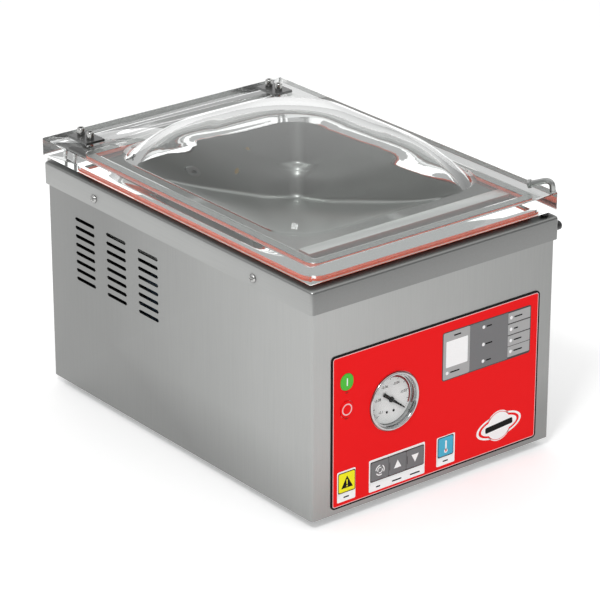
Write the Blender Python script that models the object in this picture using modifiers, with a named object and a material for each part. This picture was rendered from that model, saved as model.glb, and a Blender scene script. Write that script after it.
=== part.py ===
"""Table-top chamber vacuum packing machine, modelled closed and at rest.

Units are metres and +Z is up. The front with the control panel faces -Y, +X is to the right of
somebody standing before it, and the origin is on the table under the middle of the machine.
Below, Y is counted from the middle of the housing until the last step, which moves it all.
A stainless housing carries the chamber, pump and electrics. A clear domed lid swings up on two
rear hinges, the sealing bar rises inside the chamber, and seven panel keys press inwards.
"""

import math

import bmesh
import bpy
from mathutils import Matrix, Vector

# Driving dimensions
WIDTH = 0.330
DEPTH = 0.473
FOOT_HEIGHT = 0.010
DECK_TOP = 0.270
SKIRT_HEIGHT = 0.026
SKIRT_OVERHANG = 0.003
SHEET = 0.0015
DECK_SHEET = 0.002
GAP = 0.0003  # air left between two pieces that rest on each other
HOUSING_Y = -0.010  # the hinges stand out behind, so the housing sits forward of the origin

LID_BOTTOM = 0.2762
LID_THICKNESS = 0.020
LID_HALF = (0.168, 0.2395)
LID_CENTRE = (0, 0.0025)

CHAMBER_HALF = (0.139, 0.188)
CHAMBER_CENTRE = (0, -0.017)
CHAMBER_FLOOR = 0.190
CHAMBER_CORNER = 0.016

DOME_HALF = (0.138, 0.167)
DOME_CENTRE = (0, -0.003)
DOME_CORNER = 0.048
DOME_HEIGHT = 0.040
DOME_CROWN = 0.006
DOME_ROUNDING = 0.8
DOME_WALL = 0.007

GASKET_HALF = (0.152, 0.204)
GASKET_CENTRE = (0, -0.017)
GASKET_WIDTH = 0.010
GASKET_GROOVE = 0.003

HINGE_X = 0.132
HINGE_AXIS_Y = 0.250
HINGE_AXIS_Z = 0.264
HINGE_BOLT_Y = (0.199, 0.217)
LEAF_FRONT = 0.1895

SEAL_Y = -0.186
SEAL_TOP = 0.250
SEAL_PISTON_X = 0.090

PANEL_HALF = (0.143, 0.087)
PANEL_CENTRE = (0.0025, 0.103)
PANEL_THICKNESS = 0.001
GAUGE_CENTRE = (-0.0563, 0.1178)
GAUGE_RADIUS = 0.0328

MOTOR_Y = 0.075
MOTOR_Z = 0.076
MOTOR_END = 0.112

VENT_HALF = (0.0188, 0.0021)
VENT_COLUMNS = (0.1659, 0.1066, 0.0473)
VENT_ROWS = 8
VENT_TOP = 0.2175
VENT_PITCH = 0.01017
SCREW_Y = 0.1425
SCREW_Z = 0.254
KNOB_Y = -0.232
KNOB_Z = 0.256
SWITCH_SPOT = (0.1570, -0.2280)

PORT = (-0.012, 0.236)
VENT_PORT = (0.060, 0.236)
INLET_SPOT = (-0.110, 0.050)

KEY_THICKNESS = 0.0012
KEY_BACK = 0.0007
KEY_ROOM = 0.0004
KEY_EDGE = 0.0003
# Each key's centre and half size on the front, and its colour
KEY_LOOKS = {
    "key_on": ((-0.1205, 0.158), (0.0083, 0.0093), 0.0081, (0.10, 0.52, 0.09)),
    "key_off": ((-0.1205, 0.127), (0.0083, 0.0093), 0.0081, (0.80, 0.02, 0.02)),
    "key_stop": ((-0.1200, 0.0440), (0.0105, 0.0107), 0.0015, (0.90, 0.75, 0.02)),
    "key_set": ((-0.0755, 0.0440), (0.0118, 0.0107), 0.0015, (0.22, 0.22, 0.23)),
    "key_up": ((-0.0515, 0.0440), (0.0118, 0.0107), 0.0015, (0.22, 0.22, 0.23)),
    "key_down": ((-0.0275, 0.0440), (0.0118, 0.0107), 0.0015, (0.22, 0.22, 0.23)),
    "key_temperature": ((0.0155, 0.0440), (0.0100, 0.0107), 0.0015, (0.10, 0.45, 0.68)),
}

CORNER_STEPS = 4

# Worked out from the driving dimensions
FRONT = -DEPTH / 2
REAR = DEPTH / 2
SIDE = WIDTH / 2
BODY_BOTTOM = FOOT_HEIGHT
FLOOR_TOP = BODY_BOTTOM + GAP + DECK_SHEET
SKIRT_BOTTOM = DECK_TOP - SKIRT_HEIGHT
LID_TOP = LID_BOTTOM + LID_THICKNESS
CHAMBER_REAR = CHAMBER_CENTRE[1] + CHAMBER_HALF[1]
INLET = (INLET_SPOT[0], REAR - GAP, INLET_SPOT[1])


# Scene, materials and placing


def clear_scene():
    for thing in list(bpy.data.objects):
        bpy.data.objects.remove(thing, do_unlink=True)


def new_collection(name):
    group = bpy.data.collections.new(name)
    bpy.context.scene.collection.children.link(group)
    return group


def look(name, colour, roughness, metallic=0.0, alpha=1.0):
    """A Principled BSDF material with one colour."""
    made = bpy.data.materials.new(name)
    made.use_nodes = True
    shader = made.node_tree.nodes["Principled BSDF"]
    shader.inputs["Base Color"].default_value = (*colour, 1.0)
    shader.inputs["Roughness"].default_value = roughness
    shader.inputs["Metallic"].default_value = metallic
    shader.inputs["Alpha"].default_value = alpha
    return made


def facing(side, x, y, z):
    """A frame at (x, y, z) whose local Z points out of the named side, with local Y upwards."""
    across, upward, out = {
        "front": ((1, 0, 0), (0, 0, 1), (0, -1, 0)),
        "rear": ((-1, 0, 0), (0, 0, 1), (0, 1, 0)),
        "left": ((0, -1, 0), (0, 0, 1), (-1, 0, 0)),
        "right": ((0, 1, 0), (0, 0, 1), (1, 0, 0)),
    }[side]
    turned_frame = Matrix((across, upward, out)).transposed().to_4x4()
    return Matrix.Translation((x, y, z)) @ turned_frame


def add_object(name, mesh, material, place=Matrix()):
    item = bpy.data.objects.new(name, mesh)
    PARTS.objects.link(item)
    item.matrix_world = place
    if material:
        item.data.materials.append(material)
    return item


def from_bmesh(name, shape, material, place=Matrix()):
    bmesh.ops.recalc_face_normals(shape, faces=shape.faces)
    mesh = bpy.data.meshes.new(name)
    shape.to_mesh(mesh)
    shape.free()
    return add_object(name, mesh, material, place)


def smooth(item, angle=35):
    item.data.shade_smooth()
    item.data.set_sharp_from_angle(angle=math.radians(angle))
    return item


def hang_on(axis_name, location, items):
    """Parents the items to an empty that stands on their joint's axis."""
    empty = bpy.data.objects.new(axis_name, None)
    PARTS.objects.link(empty)
    empty.location = location
    bpy.context.view_layer.update()
    for item in items:
        item.parent = empty
        item.matrix_parent_inverse = empty.matrix_world.inverted()


# Shapes


def box(name, low, high, material=None, bevel=0.0, segments=2):
    """A block between two corners, with an optional Bevel on its edges."""
    low, high = Vector(low), Vector(high)
    shape = bmesh.new()
    bmesh.ops.create_cube(shape, size=1.0)
    bmesh.ops.scale(shape, vec=high - low, verts=shape.verts)
    item = from_bmesh(name, shape, material, Matrix.Translation((low + high) / 2))
    if bevel:
        edge = item.modifiers.new("Rounded edges", "BEVEL")
        edge.width = bevel
        edge.segments = segments
    return item


def rod(name, start, end, radius, material=None, sides=16):
    """A plain cylinder between two points."""
    start, end = Vector(start), Vector(end)
    shape = bmesh.new()
    bmesh.ops.create_cone(
        shape,
        cap_ends=True,
        segments=sides,
        radius1=radius,
        radius2=radius,
        depth=(end - start).length,
    )
    turn = (end - start).to_track_quat("Z", "Y").to_matrix().to_4x4()
    return smooth(from_bmesh(name, shape, material, Matrix.Translation((start + end) / 2) @ turn))


def turned(name, profile, material=None, place=Matrix(), steps=20):
    """A profile of (radius, height) points turned about its local Z axis.

    The profile runs from its inner or top end over the outer side to the bottom.
    """
    mesh = bpy.data.meshes.new(name)
    points = [(radius, 0, height) for radius, height in profile]
    mesh.from_pydata(points, [(i, i + 1) for i in range(len(points) - 1)], [])
    item = add_object(name, mesh, material, place)
    screw = item.modifiers.new("Turn", "SCREW")
    screw.steps = steps
    screw.render_steps = steps
    screw.use_merge_vertices = True
    screw.merge_threshold = 0.00001
    return item


def ring(half, radius, height, centre=(0, 0), steps=CORNER_STEPS):
    """Points of a level rounded rectangle, anticlockwise seen from above."""
    points = []
    for quarter, (side_x, side_y) in enumerate(((1, 1), (-1, 1), (-1, -1), (1, -1))):
        corner_x = centre[0] + side_x * (half[0] - radius)
        corner_y = centre[1] + side_y * (half[1] - radius)
        for step in range(steps + 1):
            angle = math.pi / 2 * (quarter + step / steps)
            x = corner_x + radius * math.cos(angle)
            y = corner_y + radius * math.sin(angle)
            points.append((x, y, height))
    return points


def add_loft(shape, rings, looped=False):
    """Skins the rings one after another, and caps both ends unless the last joins the first."""
    loops = [[shape.verts.new(point) for point in points] for points in rings]
    pairs = list(zip(loops, loops[1:]))
    if looped:
        pairs.append((loops[-1], loops[0]))
    else:
        shape.faces.new(reversed(loops[0]))
        shape.faces.new(loops[-1])
    for lower, upper in pairs:
        for here in range(len(lower)):
            after = (here + 1) % len(lower)
            shape.faces.new((lower[here], lower[after], upper[after], upper[here]))


def loft(name, rings, material=None, place=Matrix(), looped=False):
    shape = bmesh.new()
    add_loft(shape, rings, looped)
    return smooth(from_bmesh(name, shape, material, place))


def slab(name, half, radius, low, high, material=None, place=Matrix(), centre=(0, 0)):
    """A flat rounded rectangle between two heights."""
    return loft(
        name, [ring(half, radius, low, centre), ring(half, radius, high, centre)], material, place
    )


def tube(name, points, radius, material=None, sides=2):
    """A round bar or wire along a list of points, as a closed mesh."""
    curve = bpy.data.curves.new(name + "_path", "CURVE")
    curve.dimensions = "3D"
    curve.bevel_depth = radius
    curve.bevel_resolution = sides
    curve.use_fill_caps = True
    line = curve.splines.new("POLY")
    line.points.add(len(points) - 1)
    for spot, point in zip(line.points, points):
        spot.co = (*point, 1.0)
    path = bpy.data.objects.new(name + "_path", curve)
    CUTTERS.objects.link(path)
    bpy.context.view_layer.update()
    graph = bpy.context.evaluated_depsgraph_get()
    mesh = bpy.data.meshes.new_from_object(path.evaluated_get(graph))
    bpy.data.objects.remove(path, do_unlink=True)
    shape = bmesh.new()
    shape.from_mesh(mesh)
    bpy.data.meshes.remove(mesh)
    bmesh.ops.remove_doubles(shape, verts=shape.verts, dist=0.000001)
    return smooth(from_bmesh(name, shape, material))


def smooth_route(corners, count):
    """Evenly parametered points on a Catmull-Rom curve through the corners."""
    corners = [Vector(corner) for corner in corners]
    padded = [2 * corners[0] - corners[1], *corners, 2 * corners[-1] - corners[-2]]
    points = []
    for index in range(count):
        place = index / (count - 1) * (len(corners) - 1)
        first = min(int(place), len(corners) - 2)
        t = place - first
        a, b, c, d = padded[first : first + 4]
        points.append(
            0.5 * (2 * b + (c - a) * t + (2 * a - 5 * b + 4 * c - d) * t**2)
            + 0.5 * (3 * b - a - 3 * c + d) * t**3
        )
    return points


def combine(item, others, operation):
    """Adds or cuts the others, which become helpers that aren't pieces themselves."""
    for other in others:
        change = item.modifiers.new(other.name, "BOOLEAN")
        change.operation = operation
        change.object = other
        other.hide_render = True
        other.display_type = "WIRE"
        PARTS.objects.unlink(other)
        CUTTERS.objects.link(other)
    return item


def cut(item, *cutters):
    return combine(item, cutters, "DIFFERENCE")


def join(item, *pieces):
    return combine(item, pieces, "UNION")


# Housing


def vent_cutter(side):
    """Three columns of rounded slots through one side wall."""
    direction = 1 if side == "right" else -1
    shape = bmesh.new()
    for column in VENT_COLUMNS:
        for row in range(VENT_ROWS):
            centre = (direction * column, VENT_TOP - row * VENT_PITCH)
            rings = [ring(VENT_HALF, VENT_HALF[1], z, centre, 1) for z in (-0.004, 0.004)]
            add_loft(shape, rings)
    return from_bmesh("vents_" + side, shape, None, facing(side, direction * SIDE, 0, 0))


def screw_holes(prefix, radius):
    """Holes through both side walls for the deck screws."""
    return [
        rod(f"{prefix}_hole_{end}", (-0.2, y, SCREW_Z), (0.2, y, SCREW_Z), radius, sides=12)
        for end, y in (("front", -SCREW_Y), ("rear", SCREW_Y))
    ]


def knob_hole(prefix):
    start = (SIDE - 0.01, KNOB_Y, KNOB_Z)
    return rod(prefix + "_knob_hole", start, (SIDE + 0.01, KNOB_Y, KNOB_Z), 0.0026, sides=12)


def make_housing(steel, rubber, dark_steel):
    """The wrapped shell, floor, rear panel and feet."""
    shell_top = DECK_TOP - DECK_SHEET - 0.0006
    shell = slab("housing_shell", (SIDE, REAR), 0.003, BODY_BOTTOM, shell_top, steel)
    inside = (SIDE - SHEET, DEPTH)
    middle = (0, FRONT + SHEET + DEPTH)
    hollow = slab("housing_hollow", inside, 0.0015, 0, 0.3, centre=middle)
    gauge_hole = rod(
        "housing_gauge_hole",
        (GAUGE_CENTRE[0], FRONT - 0.01, GAUGE_CENTRE[1]),
        (GAUGE_CENTRE[0], FRONT + 0.01, GAUGE_CENTRE[1]),
        GAUGE_RADIUS - 0.0023,
        sides=28,
    )
    cutters = [hollow, gauge_hole, vent_cutter("left"), vent_cutter("right"), knob_hole("shell")]
    cut(shell, *cutters, *screw_holes("shell", 0.0025))

    inner_x = SIDE - SHEET - GAP
    rear_face = REAR - GAP
    floor_ends = (FRONT + SHEET + GAP, rear_face - SHEET - GAP)
    floor_half = (inner_x, (floor_ends[1] - floor_ends[0]) / 2)
    floor_low = BODY_BOTTOM + GAP
    middle = (0, sum(floor_ends) / 2)
    slab("base_plate", floor_half, 0.002, floor_low, FLOOR_TOP, dark_steel, centre=middle)

    low = (-inner_x, rear_face - SHEET, floor_low)
    rear_panel = box("rear_panel", low, (inner_x, rear_face, SKIRT_BOTTOM + 0.015), steel)
    outlets = bmesh.new()
    for row in range(6):
        centre = (-0.095, 0.080 + row * 0.012)
        add_loft(outlets, [ring((0.030, 0.0025), 0.0025, z, centre, 2) for z in (-0.005, 0.005)])
    outlet = from_bmesh("rear_outlets", outlets, None, facing("rear", 0, rear_face, 0))
    inlet_gap = slab(
        "inlet_opening", (0.0142, 0.0105), 0.001, -0.01, 0.01, place=facing("rear", *INLET)
    )
    cut(rear_panel, outlet, inlet_gap)

    for name, side_x, side_y in (
        ("foot_front_left", -1, -1),
        ("foot_front_right", 1, -1),
        ("foot_rear_left", -1, 1),
        ("foot_rear_right", 1, 1),
    ):
        profile = [(0, FOOT_HEIGHT), (0.012, FOOT_HEIGHT), (0.0138, 0.002), (0.0128, 0), (0, 0)]
        place = Matrix.Translation((side_x * (SIDE - 0.037), side_y * (REAR - 0.037), 0))
        smooth(turned(name, profile, rubber, place, steps=16))


def make_deck(steel, chrome, black):
    """The pressed top with its skirt, the four screws and the knob that hold it."""
    half = (SIDE + SKIRT_OVERHANG, REAR + SKIRT_OVERHANG)
    inner = (half[0] - DECK_SHEET, half[1] - DECK_SHEET)
    edge = 0.003
    bend = [
        ring(
            (half[0] - edge * (1 - math.cos(angle)), half[1] - edge * (1 - math.cos(angle))),
            0.004,
            DECK_TOP - edge * (1 - math.sin(angle)),
        )
        for angle in (0, math.pi / 6, math.pi / 3, math.pi / 2)
    ]
    under = DECK_TOP - DECK_SHEET
    opening = (CHAMBER_HALF, CHAMBER_CORNER)
    deck = loft(
        "top_deck",
        [
            ring(half, 0.004, SKIRT_BOTTOM),
            *bend,
            ring(*opening, DECK_TOP, CHAMBER_CENTRE),
            ring(*opening, under, CHAMBER_CENTRE),
            ring(inner, 0.0025, under),
            ring(inner, 0.0025, SKIRT_BOTTOM),
        ],
        steel,
        looped=True,
    )
    plunger_hole = rod(
        "deck_plunger_hole", (*SWITCH_SPOT, 0.26), (*SWITCH_SPOT, 0.28), 0.0036, sides=12
    )
    cut(deck, plunger_hole, knob_hole("deck"), *screw_holes("deck", 0.0025))

    head = [(0, 0.0034), (0.0022, 0.0031), (0.0040, 0.0019), (0.0047, GAP)]
    profile = [*head, (0.0020, GAP), (0.0020, -0.0055), (0, -0.0055)]
    for name, side, y in (
        ("deck_screw_front_left", "left", -SCREW_Y),
        ("deck_screw_rear_left", "left", SCREW_Y),
        ("deck_screw_front_right", "right", -SCREW_Y),
        ("deck_screw_rear_right", "right", SCREW_Y),
    ):
        x = half[0] * (1 if side == "right" else -1)
        smooth(turned(name, profile, chrome, facing(side, x, y, SCREW_Z), steps=12))

    grip = [(0, 0.0080), (0.0038, 0.0080), (0.0050, 0.0066), (0.0050, GAP)]
    profile = [*grip, (0.0020, GAP), (0.0020, -0.0050), (0, -0.0050)]
    smooth(turned("switch_knob", profile, black, facing("right", half[0], KNOB_Y, KNOB_Z), 16))


def make_chamber(steel, brass):
    """The tub with its hanging flange, and the suction port in its rear wall."""
    wall = SHEET
    fillet = 0.012
    under_deck = DECK_TOP - DECK_SHEET - GAP
    flange = (CHAMBER_HALF[0] + 0.011, CHAMBER_HALF[1] + 0.011)

    def bottom_fillet(offset):
        """Rings from the flat floor out to the wall, for a skin offset outwards."""
        radius = fillet + offset
        rings = []
        for step in range(4):
            angle = math.pi / 2 * step / 3
            shrink = radius * (1 - math.sin(angle)) - offset
            half = (CHAMBER_HALF[0] - shrink, CHAMBER_HALF[1] - shrink)
            height = CHAMBER_FLOOR - offset + radius * (1 - math.cos(angle))
            rings.append(ring(half, max(CHAMBER_CORNER - shrink, 0.008), height, CHAMBER_CENTRE))
        return rings

    outer = (CHAMBER_HALF[0] + wall, CHAMBER_HALF[1] + wall)
    corner = CHAMBER_CORNER + wall
    tub = loft(
        "chamber_tub",
        [
            *bottom_fillet(wall),
            ring(outer, corner, under_deck - wall, CHAMBER_CENTRE),
            ring(flange, CHAMBER_CORNER + 0.011, under_deck - wall, CHAMBER_CENTRE),
            ring(flange, CHAMBER_CORNER + 0.011, under_deck, CHAMBER_CENTRE),
            ring(CHAMBER_HALF, CHAMBER_CORNER, under_deck, CHAMBER_CENTRE),
            *reversed(bottom_fillet(0)),
        ],
        steel,
    )
    holes = [
        rod(f"tub_piston_hole_{x:+.0e}", (x, SEAL_Y, 0.17), (x, SEAL_Y, 0.21), 0.0045, sides=16)
        for x in (-SEAL_PISTON_X, SEAL_PISTON_X)
    ]
    for name, (x, z), radius in (("suction", PORT, 0.0065), ("vent", VENT_PORT, 0.004)):
        start = (x, CHAMBER_REAR - 0.01, z)
        holes.append(rod(f"tub_{name}_hole", start, (x, CHAMBER_REAR + 0.01, z), radius, sides=16))
    cut(tub, *holes)

    profile = [
        (0, -0.003),
        (0.004, -0.003),
        (0.004, 0.0035),
        (0.009, 0.0035),
        (0.0115, 0.0022),
        (0.0115, GAP),
        (0.006, GAP),
        (0.006, -0.020),
        (0, -0.020),
    ]
    smooth(turned("suction_port", profile, brass, facing("front", PORT[0], CHAMBER_REAR, PORT[1])))


# Lid


def dome_rings(half, corner, base, height, reach, power, count=11):
    """Rings of a blown dome from its foot to near its crown.

    The surface lifts off gently, climbs steeply over the reach and levels out into a low crown.
    """
    rings = []
    deepest = 0.92 * half[0]
    for step in range(count + 1):
        inset = deepest * (step / count) ** 2
        shoulder = 1 - math.exp(-((inset / reach) ** power))
        crown = 1 - (1 - inset / half[0]) ** 2
        lift = (height - DOME_CROWN) * shoulder + DOME_CROWN * crown
        shrunk = (half[0] - inset, half[1] * (1 - inset / half[0]))
        radius = min(corner + DOME_ROUNDING * inset, 0.96 * shrunk[0])
        rings.append(ring(shrunk, radius, base + lift, DOME_CENTRE))
    return rings


def make_lid(acrylic, silicone, aluminium, dark_steel, chrome, handle_steel):
    """The clear domed plate with everything that swings up with it."""
    outer_groove = (GASKET_HALF[0] + 0.0004, GASKET_HALF[1] + 0.0004)
    inner_gasket = (GASKET_HALF[0] - GASKET_WIDTH, GASKET_HALF[1] - GASKET_WIDTH)
    inner_groove = (inner_gasket[0] - 0.0004, inner_gasket[1] - 0.0004)
    groove_top = LID_BOTTOM + GASKET_GROOVE
    mouth = (DOME_HALF[0] - 0.008, DOME_HALF[1] - 0.008)
    hollow = LID_THICKNESS + DOME_HEIGHT - DOME_WALL
    edge = 0.001
    trimmed = (LID_HALF[0] - edge, LID_HALF[1] - edge)
    plate = loft(
        "lid_plate",
        [
            *reversed(dome_rings(mouth, DOME_CORNER - 0.008, LID_BOTTOM, hollow, 0.017, 1.2)),
            ring(inner_groove, 0.004, LID_BOTTOM, GASKET_CENTRE),
            ring(inner_groove, 0.004, groove_top, GASKET_CENTRE),
            ring(outer_groove, 0.0124, groove_top, GASKET_CENTRE),
            ring(outer_groove, 0.0124, LID_BOTTOM, GASKET_CENTRE),
            ring(trimmed, 0.002, LID_BOTTOM, LID_CENTRE),
            ring(LID_HALF, 0.003, LID_BOTTOM + edge, LID_CENTRE),
            ring(LID_HALF, 0.003, LID_TOP - edge, LID_CENTRE),
            ring(trimmed, 0.002, LID_TOP, LID_CENTRE),
            *dome_rings(DOME_HALF, DOME_CORNER, LID_TOP, DOME_HEIGHT, 0.022, 1.8),
        ],
        acrylic,
    )
    gasket_low = DECK_TOP + GAP
    gasket = loft(
        "lid_gasket",
        [
            ring((GASKET_HALF[0] - 0.002, GASKET_HALF[1] - 0.002), 0.010, gasket_low, GASKET_CENTRE),
            ring(GASKET_HALF, 0.012, gasket_low + 0.003, GASKET_CENTRE),
            ring(GASKET_HALF, 0.012, groove_top - GAP, GASKET_CENTRE),
            ring(inner_gasket, 0.0044, groove_top - GAP, GASKET_CENTRE),
            ring(inner_gasket, 0.0044, gasket_low + 0.003, GASKET_CENTRE),
            ring((inner_gasket[0] + 0.002, inner_gasket[1] + 0.002), 0.006, gasket_low, GASKET_CENTRE),
        ],
        silicone,
        looped=True,
    )
    bar_top = LID_BOTTOM - GAP
    bar_low = bar_top - 0.010
    low = (-0.136, SEAL_Y - 0.009, bar_low)
    counter_bar = box("counter_bar", low, (0.136, SEAL_Y + 0.009, bar_top), aluminium, 0.0008)
    strip_top = bar_low - GAP
    low = (-0.132, SEAL_Y - 0.006, strip_top - 0.004)
    counter_strip = box("counter_strip", low, (0.132, SEAL_Y + 0.006, strip_top), silicone, 0.0008)
    moving = [plate, gasket, counter_bar, counter_strip, make_handle(handle_steel)]
    bolt_holes = []
    for side, name in ((-1, "left"), (1, "right")):
        pieces, holes = make_lid_hinge(side, name, dark_steel, chrome)
        moving += pieces
        bolt_holes += holes
    cut(plate, *bolt_holes)
    hang_on("lid_axis", (0, HINGE_AXIS_Y, HINGE_AXIS_Z), moving)


def make_handle(steel):
    """A small bent bar that rises from a collar and hooks down at the front right corner."""
    surface = LID_TOP + GAP
    collar_radius = 0.0048
    rear_end = Vector((0.1505, -0.2085, surface))
    front_foot = Vector((0.1642, -0.2320, surface))
    outline = ((0, collar_radius), (0.4, 0.0082), (0.75, 0.0112), (0.95, 0.0085), (1, 0.0002))
    corners = [
        rear_end.lerp(front_foot, along) + Vector((0, 0, height)) for along, height in outline
    ]
    handle = tube("lid_handle", smooth_route(corners, 13), 0.0034, steel)
    collar = rod("handle_collar", corners[0], corners[0].lerp(corners[1], 0.3), collar_radius)
    washer = rod("handle_washer", front_foot, front_foot + Vector((0, 0, 0.0012)), 0.0037)
    below = box("handle_trim", (0.13, -0.25, LID_TOP - 0.02), (0.18, -0.19, surface))
    return cut(join(handle, collar, washer), below)


def make_lid_hinge(side, name, dark_steel, chrome):
    """One hinge: leaf, clamp plate and bolts on the lid; bracket, pin and spring on the housing."""
    x = side * HINGE_X
    half_width = 0.0125
    leaf_low, leaf_high = DECK_TOP + 0.0009, LID_BOTTOM - GAP
    plate_low, plate_high = LID_TOP + GAP, LID_TOP + GAP + 0.003
    bolts, lid_holes = [], []

    leaf_back = 0.2425
    low = (x - half_width, LEAF_FRONT, leaf_low)
    leaf = box("hinge_leaf_" + name, low, (x + half_width, leaf_back, leaf_high), dark_steel)
    low = (x - 0.0140, leaf_back - 0.004, leaf_low)
    tongue = box("hinge_tongue_" + name, low, (x + 0.0070, HINGE_AXIS_Y + 0.004, leaf_high))
    low = (x - 0.0140, leaf_back + 0.0015, HINGE_AXIS_Z)
    web = box("hinge_web_" + name, low, (x + 0.0070, HINGE_AXIS_Y + 0.003, leaf_high - 0.001))
    knuckle = rod(
        "hinge_knuckle_" + name,
        (x - 0.0140, HINGE_AXIS_Y, HINGE_AXIS_Z),
        (x + 0.0070, HINGE_AXIS_Y, HINGE_AXIS_Z),
        0.0065,
    )
    bore = rod(
        "hinge_bore_" + name,
        (x - 0.03, HINGE_AXIS_Y, HINGE_AXIS_Z),
        (x + 0.03, HINGE_AXIS_Y, HINGE_AXIS_Z),
        0.0043,
    )
    join(leaf, tongue, web, knuckle)
    low = (x - half_width, LEAF_FRONT - 0.0005, plate_low)
    clamp = box("clamp_plate_" + name, low, (x + half_width, 0.225, plate_high), dark_steel, 0.0005, 1)

    for y, end in zip(HINGE_BOLT_Y, ("front", "rear")):
        head = plate_high + GAP
        socket = [(0, 0.0045), (0.0021, 0.0050), (0.0021, 0.0078)]
        profile = [*socket, (0.0036, 0.0078), (0.0043, 0.0071), (0.0043, 0), (0.0026, 0)]
        profile += [(0.0026, leaf_low - head), (0, leaf_low - head)]
        place = Matrix.Translation((x, y, head))
        bolt_name = f"hinge_bolt_{name}_{end}"
        bolts.append(smooth(turned(bolt_name, profile, chrome, place, steps=12)))
        low, high = (x, y, leaf_low - 0.004), (x, y, plate_high + 0.002)
        cut(leaf, rod(f"leaf_{bolt_name}_hole", low, high, 0.0030, sides=12))
        cut(clamp, rod(f"clamp_{bolt_name}_hole", low, high, 0.0030, sides=12))
        lid_holes.append(rod(f"lid_{bolt_name}_hole", low, high, 0.0036, sides=12))
    cut(leaf, bore)
    make_hinge_base(x, name, dark_steel, chrome)
    return [leaf, clamp, *bolts], lid_holes


def make_hinge_base(x, name, dark_steel, chrome):
    """The bracket on the rear panel with its pin, and the spring that helps the lid up."""
    mount_low, mount_high = 0.196, SKIRT_BOTTOM - 0.001
    low = (x - 0.0195, REAR + GAP, mount_low)
    bracket = box("hinge_bracket_" + name, low, (x + 0.0195, REAR + 0.004, mount_high), dark_steel)
    shaft_holes = []
    for end, ear_x in (("inner", x - 0.0175), ("outer", x + 0.0175)):
        low = (ear_x - 0.002, REAR + 0.001, mount_low + 0.002)
        foot = box(f"ear_foot_{name}_{end}", low, (ear_x + 0.002, 0.2505, mount_high))
        low = (ear_x - 0.002, REAR + 0.0038, mount_high - 0.006)
        neck = box(f"ear_neck_{name}_{end}", low, (ear_x + 0.002, 0.2565, HINGE_AXIS_Z))
        start = (ear_x - 0.002, HINGE_AXIS_Y, HINGE_AXIS_Z)
        tip = rod(f"ear_tip_{name}_{end}", start, (ear_x + 0.002, *start[1:]), 0.0065)
        join(bracket, foot, neck, tip)
    start = (x - 0.03, HINGE_AXIS_Y, HINGE_AXIS_Z)
    shaft_holes.append(rod(f"bracket_bore_{name}", start, (x + 0.03, *start[1:]), 0.0043))
    cut(bracket, *shaft_holes)

    profile = [(0, 0.0225), (0.0056, 0.0225), (0.0060, 0.0220), (0.0060, 0.0198), (0.0040, 0.0198)]
    profile += [(0.0040, -0.0215), (0, -0.0215)]
    pin_place = facing("right", x, HINGE_AXIS_Y, HINGE_AXIS_Z)
    smooth(turned("hinge_pin_" + name, profile, chrome, pin_place, steps=14))

    wire, coil = 0.0008, 0.0057
    turns, per_turn = 3, 7
    points = [(x + 0.0088, HINGE_AXIS_Y - coil, HINGE_AXIS_Z - 0.0235)]
    for step in range(turns * per_turn + 1):
        angle = math.pi + 2 * math.pi * step / per_turn
        along = x + 0.0088 + 0.0050 * step / (turns * per_turn)
        y = HINGE_AXIS_Y + coil * math.cos(angle)
        points.append((along, y, HINGE_AXIS_Z - coil * math.sin(angle)))
    points.append((x + 0.0138, HINGE_AXIS_Y - coil, HINGE_AXIS_Z + 0.0100))
    tube("lid_spring_" + name, points, wire, chrome, sides=1)


# Sealing


def make_sealing(aluminium, tape, steel):
    """The sealing bar with its two piston rods, its tape, and the cylinders under the chamber."""
    low = (-0.134, SEAL_Y - 0.008, SEAL_TOP - 0.018)
    bar = box("seal_bar", low, (0.134, SEAL_Y + 0.008, SEAL_TOP), aluminium, 0.001)
    for side, name in ((-1, "left"), (1, "right")):
        x = side * SEAL_PISTON_X
        shaft = rod(f"seal_rod_{name}", (x, SEAL_Y, 0.150), (x, SEAL_Y, SEAL_TOP - 0.015), 0.004)
        piston = rod(f"seal_piston_{name}", (x, SEAL_Y, 0.148), (x, SEAL_Y, 0.154), 0.0111)
        join(bar, shaft, piston)
        top = CHAMBER_FLOOR - SHEET - GAP
        profile = [(0.0045, 0.135), (0.0045, top), (0.015, top), (0.015, 0.131), (0, 0.131)]
        cavity = [(0, 0.135), (0.0115, 0.135), (0.0115, top - 0.004), (0.0045, top - 0.004)]
        profile = [*cavity, *profile[1:]]
        place = Matrix.Translation((x, SEAL_Y, 0))
        smooth(turned("seal_cylinder_" + name, profile, steel, place, steps=16))
    low = (-0.131, SEAL_Y - 0.006, SEAL_TOP + GAP)
    strip = box("seal_tape", low, (0.131, SEAL_Y + 0.006, SEAL_TOP + 0.0012), tape, 0.0003)
    hang_on("seal_axis", (0, SEAL_Y, SEAL_TOP), [bar, strip])


# Control panel


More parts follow.
